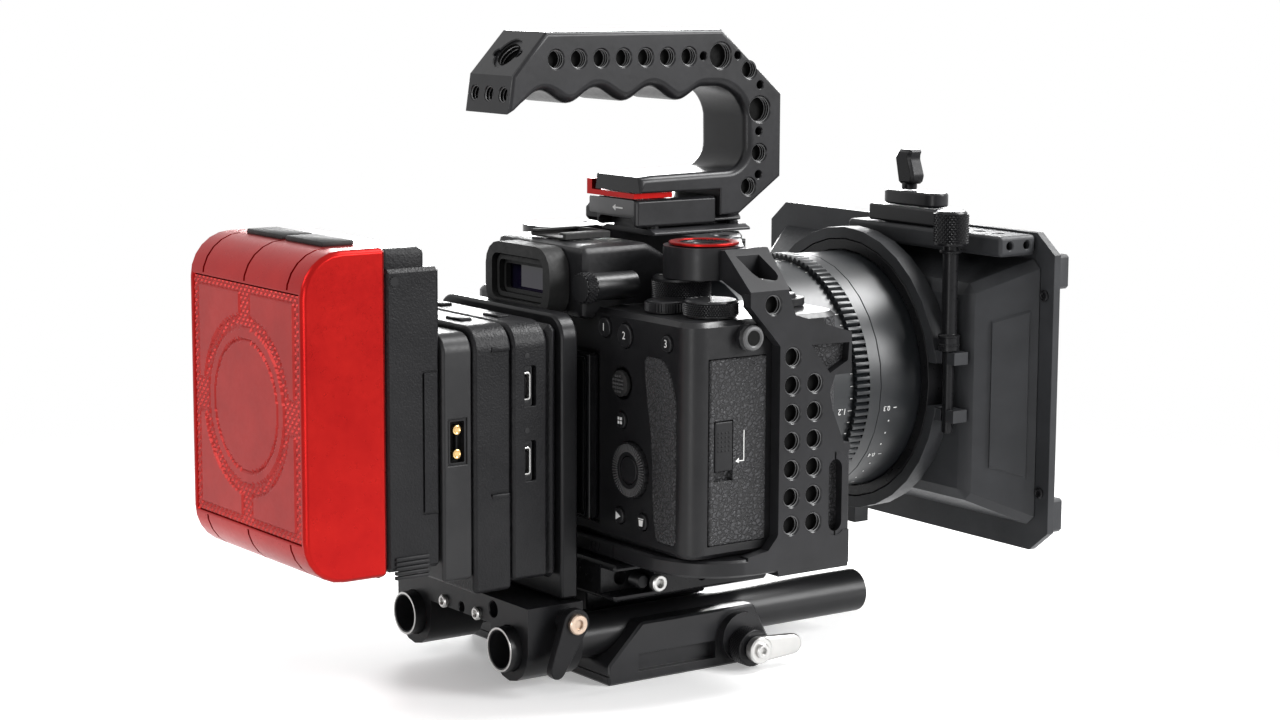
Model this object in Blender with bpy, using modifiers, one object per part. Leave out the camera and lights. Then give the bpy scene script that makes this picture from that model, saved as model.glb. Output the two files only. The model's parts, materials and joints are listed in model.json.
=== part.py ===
"""A cinema camera rig: a caged camera on two rods with a geared cine lens, matte box, handle and battery.

The frame is +X to the operator's right, +Y along the lens and +Z up.
The origin is the centre of the base plate's bottom face, which is what the rig stands on.
"""
import math

import bmesh
import bpy
from mathutils import Matrix, Vector

# Sizes below are in millimetres, and MM turns them into metres.
MM = 0.001
GAP = 0.3
ROUND_STEPS = 20
SMALL_STEPS = 12
SOCKET_STEPS = 8
LENS_STEPS = 32

# Rods
ROD_RADIUS = 7.5
ROD_SPREAD = 60.0
ROD_LENGTH = 150.0
ROD_REAR_Y = -66.0
ROD_AXIS_Z = 15.0
ROD_BORE_RADIUS = 6.2
ROD_BORE_DEPTH = 14.0

# Base plate and its rod lock
BASE_HALF_WIDTH = 43.0
BASE_REAR_Y = -31.5
BASE_FRONT_Y = 36.0
BASE_FOOT_FRONT_Y = 31.5
BASE_LIP_HEIGHT = 6.8
BASE_TOP_Z = 20.0
BASE_REAR_SLOPE = 13.5
BASE_FRONT_SLOPE = 7.0
BASE_POCKET_DEPTH = 3.0
BASE_POCKET_LENGTH = 32.0
BASE_POCKET_HEIGHT = 6.0
LOCK_BOSS_RADIUS = 8.5
LOCK_BOSS_Y = 22.0
LOCK_BOSS_Z = 10.0
LOCK_BOSS_LENGTH = 3.0
LOCK_KNOB_RADIUS = 6.4
LOCK_KNOB_LENGTH = 6.0
LOCK_LEVER_RADIUS = 4.4
LOCK_LEVER_THICKNESS = 3.2
LOCK_LEVER_REACH = 14.5

# Riser and quick-release clamp
RISER_HALF_WIDTH = 20.5
RISER_LENGTH = 50.0
RISER_HEIGHT = 7.7
CLAMP_HALF_WIDTH = 44.0
CLAMP_REAR_Y = -30.0
CLAMP_FRONT_Y = 34.0
CLAMP_HEIGHT = 12.4
CLAMP_NOTCH_LENGTH = 16.0
CLAMP_NOTCH_DEPTH = 8.0
CLAMP_SCREW_SHANK = 2.2

# Cage
CAGE_REAR_Y = 7.3
CAGE_FRONT_Y = 37.0
CAGE_WALL = 4.5
CAGE_FLOOR = 6.2
CAGE_ROOF = 8.0
CAGE_SHOULDER_X = 62.0
CAGE_LEFT_SHOULDER_X = -46.0
CAGE_SHOULDER_DROP = 11.1
CAGE_ROOF_TOP_Z = 144.5
CAGE_SOCKET_RADIUS = 3.2
CAGE_SOCKET_DEPTH = 3.0
CAGE_SOCKET_PITCH = 9.19
CAGE_SOCKET_ROWS = 7
CAGE_SOCKET_MARGIN = 5.4
CAGE_SOCKET_TOP_Z = 111.2
CAGE_SCOOP_DEPTH = 9.0
CAGE_SCOOPS = ((52.0, 78.5), (81.0, 104.0))
CAGE_LEDGE_REAR_Y = 13.5
CAGE_LEDGE_TOP_Z = 124.8
CAGE_LEDGE_DROP = 7.5
CAGE_ARM_REAR_Y = -5.5
CAGE_ARM_WAIST_X = 60.0
CAGE_ARM_WAIST_Y = 1.0
CAGE_ARM_DIAL_X = 75.5
CAGE_ARM_DIAL_DROP = 3.1
CAGE_GUSSET_DROP = 21.0
CAGE_TRIM = 0.1
CAGE_WINDOW_REAR_Y = 2.6
CAGE_WINDOW_WIDTH = 9.4
CAGE_WINDOW_LEFT_X = 65.0
CAGE_WINDOW_RIGHT_X = 78.4
CAGE_NOSE_HALF = 15.0
CAGE_NOSE_LENGTH = 8.0
CAGE_NOSE_HEIGHT = 6.5
CAGE_CORNER_X = 21.0
CAGE_CORNER_REAR_Y = 15.0
CAGE_FOOT_DROP = 1.3
CAGE_FLOOR_REACH = 33.8
CAGE_FLOOR_CORNER = 24.0
CAGE_FLOOR_HALF_WIDTH = 40.0
BOSS_RADIUS = 13.5
BOSS_HEIGHT = 10.1
BOSS_X = 46.0
BOSS_Y = 4.0
LEFT_BOSS_X = -38.0
RING_OUTER = 11.6
RING_INNER = 8.6
RING_HEIGHT = 0.9

# Camera body
BODY_LEFT_X = -51.0
BODY_RIGHT_X = 78.0
BODY_REAR_Y = -25.0
BODY_FRONT_Y = 18.0
BODY_HEIGHT = 76.5
BODY_CORNER = 7.0
GRIP_FRONT_Y = 39.0
GRIP_INNER_X = 33.0
LENS_AXIS_HEIGHT = 42.3
HUMP_HALF_WIDTH = 26.0
HUMP_REAR_Y = -31.0
HUMP_FRONT_Y = 16.0
HUMP_HEIGHT = 20.4
HUMP_FRONT_DROP = 12.0
HUMP_SLOPE_LENGTH = 20.0
MOUNT_RADIUS = 32.0
MOUNT_LENGTH = 2.0

# Viewfinder, hot shoe and screen
EYECUP_HALF_WIDTH = 19.5
EYECUP_HEIGHT = 23.2
EYECUP_CORNER = 8.0
EYECUP_DEPTH = 8.0
EYECUP_WALL = 4.0
EYECUP_CENTRE_Z = 131.8
EYE_GLASS_THICKNESS = 2.0
DIOPTER_RADIUS = 4.9
DIOPTER_LENGTH = 4.4
DIOPTER_SLEEVE_LENGTH = 16.5
DIOPTER_X = 28.2
DIOPTER_Z = 131.0
SHOE_HALF_WIDTH = 10.5
SHOE_LENGTH = 18.5
SHOE_HEIGHT = 2.4
SHOE_REAR_Y = -27.0
SCREEN_LEFT_X = -47.0
SCREEN_RIGHT_X = 27.0
SCREEN_BOTTOM_Z = 53.0
SCREEN_HEIGHT = 56.0
SCREEN_THICKNESS = 5.0
SCREEN_RECESS = 1.2

# Dials on the top deck
MODE_DIAL = (37.0, 1.5, 10.0, 9.8)
EXPOSURE_DIAL = (66.0, -8.0, 9.0, 5.4)
REAR_DIAL = (49.0, -13.0, 7.4, 3.8)
DIAL_RIBS = 20
DIAL_RIB_DEPTH = 0.5
SHUTTER_X = 56.0
SHUTTER_Y = 29.0
SHUTTER_RADIUS = 4.6
SHUTTER_HEIGHT = 4.2
SHUTTER_TRAVEL = 1.0
POWER_RING_WALL = 2.6
POWER_RING_HEIGHT = 2.6

# Rear controls: name, x, z and radius
REAR_BUTTONS = (
    ("c1_button", 31.5, 118.0, 3.4),
    ("af_on_button", 43.0, 116.5, 4.0),
    ("ael_button", 66.0, 116.5, 2.8),
    ("fn_button", 41.0, 88.4, 2.8),
    ("play_button", 40.0, 56.5, 2.8),
    ("trash_button", 53.0, 56.5, 2.8),
)
BUTTON_PROUD = 1.0
BUTTON_LENGTH = 2.4
BUTTON_TRAVEL = 0.6
JOYSTICK_X = 41.0
JOYSTICK_Z = 100.6
JOYSTICK_RADIUS = 4.4
JOYSTICK_LENGTH = 3.4
WHEEL_X = 46.5
WHEEL_Z = 72.7
WHEEL_RADIUS = 9.3
WHEEL_BORE = 4.9
WHEEL_THICKNESS = 2.2
WHEEL_RECESS = 1.0
WHEEL_RIBS = 20

# Card door on the right side and the strap lug
DOOR_REAR_Y = -17.5
DOOR_FRONT_Y = 5.0
DOOR_BOTTOM_Z = 52.0
DOOR_HEIGHT = 60.0
DOOR_THICKNESS = 2.6
DOOR_PROUD = 0.8
LATCH_Y = -12.2
LATCH_Z = 84.0
LATCH_WIDTH = 7.0
LATCH_LENGTH = 16.0
LATCH_TRAVEL = 3.0
LATCH_THICKNESS = 1.6
LUG_Y = -3.0
LUG_Z = 118.5
LUG_RADIUS = 4.4
LUG_LENGTH = 4.0

# Lens, measured forward from the camera's mount
LENS_REAR_RADIUS = 33.0
LENS_REAR_LENGTH = 24.0
LENS_TUBE_RADIUS = 36.0
IRIS_RADIUS = 40.5
IRIS_LENGTH = 14.0
IRIS_FLUTES = 24
FOCUS_RADIUS = 41.6
FOCUS_REAR_LENGTH = 14.0
GEAR_MODULE = 0.8
GEAR_TIP_RADIUS = 43.6
GEAR_LENGTH = 5.8
GEAR_NECK = 0.6
FOCUS_FRONT_LENGTH = 5.4
FRONT_RADIUS = 43.0
FRONT_LENGTH = 24.8
FRONT_GLASS_RADIUS = 33.0
FRONT_GLASS_DEPTH = 7.0
FRONT_GLASS_THICKNESS = 6.0

# Matte box: clamp ring, shade and front flange
ADAPTER_OUTER = 47.2
ADAPTER_REAR_Y = 102.5
RING_CLAMP_WALL = 4.1
RING_CLAMP_LENGTH = 7.0
RING_FOOT_WIDTH = 16.0
RING_FOOT_DROP = 4.0
LUG_REACH = 8.4
LUG_THICKNESS = 4.4
LUG_GAP = 16.0
THUMB_SHAFT_RADIUS = 2.7
THUMB_OFFSET = 1.4
THUMB_SCREW_RADIUS = 1.9
THUMB_KNOB_RADIUS = 5.7
THUMB_KNOB_HEIGHT = 12.0
THUMB_KNOB_TOP_Z = 151.5
SHADE_CENTRE_Z = 87.2
SHADE_REAR_HALF = (58.0, 37.4)
SHADE_FRONT_HALF = (72.5, 47.2)
SHADE_DEPTH = 21.0
SHADE_WALL = 2.6
SHADE_HOLE_RADIUS = 33.5
FLANGE_HALF = (79.0, 56.4)
FLANGE_THICKNESS = 3.0
FLANGE_CHAMFER = 9.0
TAB_SIZE = 12.0
TAB_THICKNESS = 5.0

# Flag bracket on top of the matte box
BRACKET_LEFT_X = -12.0
BRACKET_RIGHT_X = 70.0
BRACKET_DEPTH = 17.0
BRACKET_TOP_Z = 143.0
BRACKET_HEIGHT = 7.2
SLIDE_LEFT_X = -2.5
SLIDE_RIGHT_X = 36.0
SLIDE_DEPTH = 13.0
SLIDE_HEIGHT = 6.0
LOCK_BASE_LEFT_X = 1.6
LOCK_BASE_RIGHT_X = 31.0
LOCK_BASE_DEPTH = 10.0
LOCK_BASE_HEIGHT = 5.2
FLAG_LEVER_X = 12.5
FLAG_LEVER_HEIGHT = 14.5
FLAG_LEVER_LENGTH = 10.5
FLAG_LEVER_WIDTH = 6.4
FLAG_LEVER_LEAN = 2.5

# Top handle, its clamp and the rail
HANDLE_HALF_WIDTH = 13.6
HANDLE_REAR_Y = -51.3
HANDLE_FRONT_Y = 61.8
HANDLE_TOP_Z = 213.7
HANDLE_UNDERSIDE_Z = 194.4
HANDLE_REAR_SLOPE = 15.0
HANDLE_FRONT_SLOPE = 20.0
HANDLE_NECK = 15.2
HANDLE_NECK_CURVE = 13.0
HANDLE_FINGER_PITCH = 22.4
HANDLE_FINGER_DEPTH = 4.6
HANDLE_HEEL = 2.6
HANDLE_BOW = 0.6
HANDLE_ARM_TOP_Z = 161.5
HANDLE_ARM_REAR_Y = 1.5
HANDLE_ARM_BOTTOM_Z = 159.2
HANDLE_SOCKETS = 7
HANDLE_SOCKET_PITCH = 9.03
HANDLE_SOCKET_RADIUS = 3.2
HANDLE_SOCKET_DEPTH = 3.0
HANDLE_SOCKET_Z = 204.8
HANDLE_SOCKET_REAR_Y = -32.6
HANDLE_BIG_SOCKET_RADIUS = 4.6
HANDLE_BIG_SOCKET_Y = 35.0
HANDLE_NECK_SOCKET_Z = 186.0
SHOE_CLAMP_HALF_WIDTH = 12.1
SHOE_CLAMP_REAR_Y = 1.0
SHOE_CLAMP_LENGTH = 34.0
SHOE_CLAMP_BOTTOM_Z = 147.3
CLAMP_LOCK_REACH = 9.0
CLAMP_LOCK_LENGTH = 12.0
CLAMP_LOCK_HEIGHT = 6.5
RAIL_HALF_WIDTH = 10.0
RAIL_NECK_HALF = 6.5
RAIL_REAR_Y = 6.0
RAIL_FRONT_Y = 47.0
RAIL_FOOT_HALF = 15.5
RAIL_FOOT_SLOPE = 2.5
RAIL_NECK_HEIGHT = 2.2
RAIL_HEAD_HEIGHT = 3.0
RAIL_FLARE = 1.0
RAIL_CHAMFER = 1.2
RELEASE_THICKNESS = 1.8
RELEASE_HUB_RADIUS = 2.6
RELEASE_REACH = 17.5
RELEASE_TAB_WIDTH = 6.0
RELEASE_TAB_HEIGHT = 5.4

# Battery, plate, modules and the bracket on the rods
BRACKET_PLATE_FRONT_Y = -40.3
BRACKET_PLATE_THICKNESS = 6.6
BRACKET_PLATE_TOP_Z = 124.0
BRACKET_PLATE_HALF_WIDTH = 38.0
SPACER_THICKNESS = 4.6
SPACER_HALF_WIDTH = 36.5
MODULE_HALF_WIDTH = 38.0
MODULE_FRONT_LENGTH = 13.5
MODULE_REAR_LENGTH = 14.3
MODULE_BOTTOM_Z = 36.7
MODULE_TOP_Z = 122.7
MODULE_CORNER = 8.0
PORT_LENGTH = 13.0
PORT_WIDTH = 4.2
PORT_DEPTH = 3.0
PORT_HEIGHTS = (78.0, 102.3)
PLATE_LENGTH = 11.0
PLATE_HALF_WIDTH = 37.6
PLATE_BOTTOM_Z = 42.0
PLATE_TOP_Z = 121.0
SOCKET_HEIGHT = 15.0
SOCKET_WIDTH = 7.0
SOCKET_DEPTH = 3.2
SOCKET_Z = 86.8
WEDGE_TOP_HALF = 24.0
WEDGE_BOTTOM_HALF = 17.0
WEDGE_HEIGHT = 44.0
WEDGE_BOTTOM_Z = 66.0
WEDGE_DEPTH = 5.0
LATCH_BUTTON_RADIUS = 4.0
LATCH_BUTTON_LENGTH = 5.0
LATCH_BUTTON_TRAVEL = 2.0
BATTERY_HALF_WIDTH = 38.0
BATTERY_BASE_LENGTH = 19.5
BATTERY_SHELL_LENGTH = 29.3
BATTERY_BOTTOM_Z = 46.7
BATTERY_HEIGHT = 103.1
BATTERY_CORNER = 14.0
BATTERY_BASE_INSET = 1.2
BATTERY_BASE_DROP = 7.0
BATTERY_BASE_RISE = 0.8
BASE_CAP_HALF = 34.0
BASE_CAP_LENGTH = 16.0
BASE_CAP_HEIGHT = 6.0
BASE_TUBE_RADIUS = 2.6
BASE_TUBE_LEFT_X = -8.0
BASE_TUBE_RIGHT_X = 26.0
PANEL_INSET = 3.0
PANEL_RISE = 13.0
PANEL_THICKNESS = 1.6

# Rod clamp under the module
ROD_CLAMP_EAR = 11.0
ROD_CLAMP_REAR_Y = -62.0
ROD_CLAMP_LENGTH = 21.5
ROD_CLAMP_TOP_Z = 30.0
ROD_CLAMP_WEB_Z = 21.0
LEVER_PIVOT_Y = -47.5
LEVER_PIVOT_Z = 24.6
LEVER_HUB_RADIUS = 5.0
LEVER_HOLE_RADIUS = 3.0
LEVER_THICKNESS = 3.2
LEVER_STANDOFF = 3.4
LEVER_REACH = 16.4
LEVER_TIP_RADIUS = 2.8
LEVER_LEAN = 0.45

# Places that follow from the sizes above
ROD_X = ROD_SPREAD / 2
RISER_BOTTOM_Z = BASE_TOP_Z + GAP
RISER_TOP_Z = RISER_BOTTOM_Z + RISER_HEIGHT
CLAMP_BOTTOM_Z = RISER_TOP_Z + GAP
CLAMP_TOP_Z = CLAMP_BOTTOM_Z + CLAMP_HEIGHT
CAGE_BOTTOM_Z = CLAMP_TOP_Z + GAP
BODY_BOTTOM_Z = CAGE_BOTTOM_Z + CAGE_FLOOR + GAP
BODY_TOP_Z = BODY_BOTTOM_Z + BODY_HEIGHT
HUMP_TOP_Z = BODY_TOP_Z + HUMP_HEIGHT
LENS_AXIS_Z = BODY_BOTTOM_Z + LENS_AXIS_HEIGHT
RAIL_BOTTOM_Z = CAGE_ROOF_TOP_Z + GAP
RAIL_TOP_Z = RAIL_BOTTOM_Z + RAIL_NECK_HEIGHT + RAIL_HEAD_HEIGHT
CAGE_RIGHT_X = BODY_RIGHT_X + GAP + CAGE_WALL
CAGE_LEFT_X = BODY_LEFT_X - GAP - CAGE_WALL
LENS_REAR_Y = BODY_FRONT_Y + MOUNT_LENGTH + GAP
IRIS_REAR_Y = LENS_REAR_Y + LENS_REAR_LENGTH + GAP
FOCUS_REAR_Y = IRIS_REAR_Y + IRIS_LENGTH + GAP
FOCUS_LENGTH = FOCUS_REAR_LENGTH + GEAR_LENGTH + FOCUS_FRONT_LENGTH
FRONT_REAR_Y = FOCUS_REAR_Y + FOCUS_LENGTH + GAP
FRONT_END_Y = FRONT_REAR_Y + FRONT_LENGTH
RING_CLAMP_INNER = ADAPTER_OUTER + GAP
RING_CLAMP_OUTER = RING_CLAMP_INNER + RING_CLAMP_WALL
SHADE_REAR_Y = ADAPTER_REAR_Y + RING_CLAMP_LENGTH + GAP
SHADE_FRONT_Y = SHADE_REAR_Y + SHADE_DEPTH
FLANGE_REAR_Y = SHADE_FRONT_Y + GAP
THUMB_X = RING_CLAMP_OUTER + THUMB_SHAFT_RADIUS + 2 * GAP
THUMB_Y = ADAPTER_REAR_Y + RING_CLAMP_LENGTH / 2 - THUMB_OFFSET
SPACER_FRONT_Y = BRACKET_PLATE_FRONT_Y - BRACKET_PLATE_THICKNESS - GAP
MODULE_FRONT_Y = SPACER_FRONT_Y - SPACER_THICKNESS - GAP
MODULE_MIDDLE_Y = MODULE_FRONT_Y - MODULE_FRONT_LENGTH - GAP
PLATE_FRONT_Y = MODULE_MIDDLE_Y - MODULE_REAR_LENGTH - GAP
PLATE_REAR_Y = PLATE_FRONT_Y - PLATE_LENGTH
BATTERY_FRONT_Y = PLATE_REAR_Y - GAP
BATTERY_JOINT_Y = BATTERY_FRONT_Y - BATTERY_BASE_LENGTH
BATTERY_SHELL_FRONT_Y = BATTERY_JOINT_Y - GAP
BATTERY_REAR_Y = BATTERY_SHELL_FRONT_Y - BATTERY_SHELL_LENGTH
BATTERY_TOP_Z = BATTERY_BOTTOM_Z + BATTERY_HEIGHT

AXIS_TURN = {
    "X": Matrix.Rotation(math.pi / 2, 4, "Y"),
    "Y": Matrix.Rotation(-math.pi / 2, 4, "X"),
    "Z": Matrix.Identity(4),
    "-X": Matrix.Rotation(-math.pi / 2, 4, "Y"),
    "-Y": Matrix.Rotation(math.pi / 2, 4, "X"),
}
OUTLINE_TURN = {
    "X": Matrix(((0, 0, 1, 0), (1, 0, 0, 0), (0, 1, 0, 0), (0, 0, 0, 1))),
    "Y": Matrix(((1, 0, 0, 0), (0, 0, -1, 0), (0, 1, 0, 0), (0, 0, 0, 1))),
    "Z": Matrix.Identity(4),
}


def clear_scene():
    for item in list(bpy.data.objects):
        bpy.data.objects.remove(item, do_unlink=True)


def new_collection(name):
    collection = bpy.data.collections.new(name)
    bpy.context.scene.collection.children.link(collection)
    return collection


def make_material(name, colour, roughness, metallic=0.0):
    material = bpy.data.materials.new(name)
    material.use_nodes = True
    shader = material.node_tree.nodes["Principled BSDF"]
    shader.inputs["Base Color"].default_value = (*colour, 1.0)
    shader.inputs["Roughness"].default_value = roughness
    shader.inputs["Metallic"].default_value = metallic
    return material


clear_scene()
PARTS = new_collection("cinema_camera_rig")
CUTTERS = new_collection("cutters")
BLACK_METAL = make_material("black_anodised", (0.03, 0.03, 0.033), 0.45, 0.6)
SATIN_METAL = make_material("satin_metal", (0.28, 0.28, 0.29), 0.4, 0.8)
BRIGHT_METAL = make_material("bright_metal", (0.75, 0.74, 0.72), 0.25, 1.0)
BLACK_PLASTIC = make_material("black_plastic", (0.035, 0.035, 0.038), 0.6)
GREY_PLASTIC = make_material("grey_plastic", (0.09, 0.09, 0.095), 0.55)
RED_PLASTIC = make_material("red_plastic", (0.8, 0.06, 0.04), 0.35)
DARK_RED = make_material("dark_red", (0.45, 0.05, 0.05), 0.3)
RUBBER = make_material("rubber", (0.02, 0.02, 0.02), 0.85)
GLASS = make_material("coated_glass", (0.05, 0.04, 0.07), 0.05)


def place(item, name, material, collection):
    item.name = name
    item.data.name = name
    if material is not None:
        item.data.materials.append(material)
    collection.objects.link(item)
    if collection is CUTTERS:
        item.hide_render = True
        item.display_type = "WIRE"
    return item


def shade(mesh):
    mesh.shade_smooth()
    mesh.set_sharp_from_angle(angle=math.radians(35))


def add_bevel(item, width, segments=1, angle=30):
    bevel = item.modifiers.new("rounding", "BEVEL")
    bevel.width = width * MM
    bevel.segments = segments
    bevel.limit_method = "ANGLE"
    bevel.angle_limit = math.radians(angle)


def combine(target, tools, operation):
    """One Boolean for all of a piece's cutters, or for all that is joined to it."""
    group = bpy.data.collections.new(target.name + "_" + operation.lower())
    CUTTERS.children.link(group)
    for tool in tools:
        CUTTERS.objects.unlink(tool)
        group.objects.link(tool)
    boolean = target.modifiers.new(group.name, "BOOLEAN")
    boolean.operation = operation
    boolean.operand_type = "COLLECTION"
    boolean.collection = group
    boolean.solver = "EXACT"


def cut(target, *tools):
    combine(target, tools, "DIFFERENCE")


def join(target, *tools):
    combine(target, tools, "UNION")


def block(name, low, high, material=None, collection=None, origin=(0, 0, 0), bevel=0.0, segments=1):
    """A box between two corners, with its origin where a moving piece turns."""
    mesh = bpy.data.meshes.new(name)
    shape = bmesh.new()
    bmesh.ops.create_cube(shape, size=1.0)
    low, high, origin = Vector(low), Vector(high), Vector(origin)
    size = high - low
    middle = (low + high) / 2 - origin
    for vertex in shape.verts:
        vertex.co = Vector([c * s + m for c, s, m in zip(vertex.co, size, middle)]) * MM
    shape.to_mesh(mesh)
    shape.free()
    item = place(bpy.data.objects.new(name, mesh), name, material, collection or PARTS)
    item.location = origin * MM
    if bevel:
        add_bevel(item, bevel, segments)
    return item


def taper(name, rear_half, front_half, rear_y, front_y, centre_z, material=None, collection=None):
    """A box along Y whose two ends differ in size."""
    item = block(name, (-1, rear_y, -1), (1, front_y, 1), material, collection)
    middle = (rear_y + front_y) / 2 * MM
    for vertex in item.data.vertices:
        half = rear_half if vertex.co.y < middle else front_half
        vertex.co.x *= half[0]
        vertex.co.z = vertex.co.z * half[1] + centre_z * MM
    return item


def outline_mesh(name, loops, thickness):
    """A flat outline, with any holes as further loops, given its thickness."""
    curve = bpy.data.curves.new(name, "CURVE")
    curve.dimensions = "2D"
    curve.fill_mode = "BOTH"
    curve.extrude = thickness / 2 * MM
    for loop in loops:
        spline = curve.splines.new("POLY")
        spline.points.add(len(loop) - 1)
        for point, (across, along) in zip(spline.points, loop):
            point.co = (across * MM, along * MM, 0.0, 1.0)
        spline.use_cyclic_u = True
    guide = bpy.data.objects.new(name + "_outline", curve)
    bpy.context.scene.collection.objects.link(guide)
    graph = bpy.context.evaluated_depsgraph_get()
    mesh = bpy.data.meshes.new_from_object(guide.evaluated_get(graph))
    bpy.data.objects.remove(guide, do_unlink=True)
    shape = bmesh.new()
    shape.from_mesh(mesh)
    bmesh.ops.remove_doubles(shape, verts=shape.verts, dist=0.00001)
    bmesh.ops.dissolve_limit(shape, angle_limit=0.002, verts=shape.verts, edges=shape.edges)
    bmesh.ops.recalc_face_normals(shape, faces=shape.faces)
    shape.to_mesh(mesh)
    shape.free()
    return mesh


def prism(name, loops, axis, start, end, material=None, collection=None, origin=(0, 0, 0), bevel=0.0,
          segments=1):
    """An outline drawn square to an axis and carried along it from start to end."""
    mesh = outline_mesh(name, loops, end - start)
    middle = {"X": (1, 0, 0), "Y": (0, 1, 0), "Z": (0, 0, 1)}[axis]
    shift = Vector(middle) * (start + end) / 2 - Vector(origin)
    mesh.transform(Matrix.Translation(shift * MM) @ OUTLINE_TURN[axis])
    shade(mesh)
    item = place(bpy.data.objects.new(name, mesh), name, material, collection or PARTS)
    item.location = Vector(origin) * MM
    if bevel:
        add_bevel(item, bevel, segments)
    return item


def turned(name, profile, centre, axis, material=None, collection=None, steps=ROUND_STEPS, ring=False):
    """A turned shape: (radius, height) pairs running down the outer side, about an axis."""
    mesh = bpy.data.meshes.new(name)
    shape = bmesh.new()
    points = [shape.verts.new((radius * MM, 0.0, height * MM)) for radius, height in profile]
    for first, second in zip(points, points[1:]):
        shape.edges.new((first, second))
    if ring:
        shape.edges.new((points[-1], points[0]))
    shape.to_mesh(mesh)
    shape.free()
    item = place(bpy.data.objects.new(name, mesh), name, material, collection or PARTS)
    screw = item.modifiers.new("turning", "SCREW")
    screw.axis = "Z"
    screw.steps = steps
    screw.render_steps = steps
    screw.use_merge_vertices = True
    screw.merge_threshold = 0.00001
    item.matrix_world = Matrix.Translation(Vector(centre) * MM) @ AXIS_TURN[axis]
    return item


def disc(name, radius, start, end, centre, axis, material=None, collection=None, steps=ROUND_STEPS):
    """A plain cylinder from start to end along an axis through its centre."""
    profile = ((0, end), (radius, end), (radius, start), (0, start))
    return turned(name, profile, centre, axis, material, collection, steps)


def tube(name, outer, inner, start, end, centre, axis, material=None, collection=None, steps=ROUND_STEPS):
    profile = ((outer, end), (outer, start), (inner, start), (inner, end))
    return turned(name, profile, centre, axis, material, collection, steps, ring=True)


def arc(centre, radius, first, last, steps):
    """Points along an arc, with angles in degrees."""
    points = []
    for step in range(steps + 1):
        angle = math.radians(first + (last - first) * step / steps)
        points.append((centre[0] + radius * math.cos(angle), centre[1] + radius * math.sin(angle)))
    return points


def rounded_box(low, high, radius, steps=4):
    """A rectangle with round corners, counter-clockwise from its lower right corner."""
    points = arc((high[0] - radius, low[1] + radius), radius, -90, 0, steps)
    points += arc((high[0] - radius, high[1] - radius), radius, 0, 90, steps)
    points += arc((low[0] + radius, high[1] - radius), radius, 90, 180, steps)
    points += arc((low[0] + radius, low[1] + radius), radius, 180, 270, steps)
    return points


def circle(centre, radius, steps=ROUND_STEPS):
    return arc(centre, radius, 0, 360 - 360 / steps, steps - 1)


def ribbed(radius, depth, count, centre=(0.0, 0.0), flank=0.3):
    """A round outline with flat-topped ribs between sharp grooves, as on a gear or a milled dial."""
    points = []
    pitch = 2 * math.pi / count
    for tooth in range(count):
        for share, reach in ((0.0, radius - depth), (flank, radius), (1 - flank, radius)):
            angle = pitch * (tooth + share)
            points.append((centre[0] + reach * math.cos(angle), centre[1] + reach * math.sin(angle)))
    return points


def build_rods():
    for name, side in (("rod_left", -1), ("rod_right", 1)):
        floor = ROD_BORE_DEPTH
        profile = (
            (0, ROD_LENGTH - floor),
            (ROD_BORE_RADIUS, ROD_LENGTH - floor),
            (ROD_BORE_RADIUS, ROD_LENGTH),
            (ROD_RADIUS, ROD_LENGTH),
            (ROD_RADIUS, 0),
            (ROD_BORE_RADIUS, 0),
            (ROD_BORE_RADIUS, floor),
            (0, floor),
        )
        turned(name, profile, (side * ROD_X, ROD_REAR_Y, ROD_AXIS_Z), "Y", BLACK_METAL)


def build_base():
    outline = (
        (BASE_REAR_Y, 0),
        (BASE_FOOT_FRONT_Y, 0),
        (BASE_FRONT_Y, BASE_LIP_HEIGHT),
        (BASE_FRONT_Y - BASE_FRONT_SLOPE, BASE_TOP_Z),
        (BASE_REAR_Y + BASE_REAR_SLOPE, BASE_TOP_Z),
        (BASE_REAR_Y, BASE_LIP_HEIGHT),
    )
    base = prism("baseplate", [outline], "X", -BASE_HALF_WIDTH, BASE_HALF_WIDTH, BLACK_METAL, bevel=0.8)
    cutters = []
    for side in (-1, 1):
        bore = disc("rod_channel", ROD_RADIUS + GAP, BASE_REAR_Y - 1, BASE_FRONT_Y + 1,
                    (side * ROD_X, 0, ROD_AXIS_Z), "Y", collection=CUTTERS)
        outer = side * (BASE_HALF_WIDTH + 1)
        inner = side * (BASE_HALF_WIDTH - BASE_POCKET_DEPTH)
        pocket_front = LOCK_BOSS_Y - LOCK_BOSS_RADIUS - 3 * GAP
        pocket = block("base_pocket",
                       (min(outer, inner), pocket_front - BASE_POCKET_LENGTH, BASE_LIP_HEIGHT / 2),
                       (max(outer, inner), pocket_front, BASE_LIP_HEIGHT / 2 + BASE_POCKET_HEIGHT),
                       collection=CUTTERS)
        cutters += [bore, pocket]
    cut(base, *cutters)
    boss = disc("lock_boss", LOCK_BOSS_RADIUS, BASE_HALF_WIDTH - 1, BASE_HALF_WIDTH + LOCK_BOSS_LENGTH,
                (0, LOCK_BOSS_Y, LOCK_BOSS_Z), "X", collection=CUTTERS)
    join(base, boss)


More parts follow.
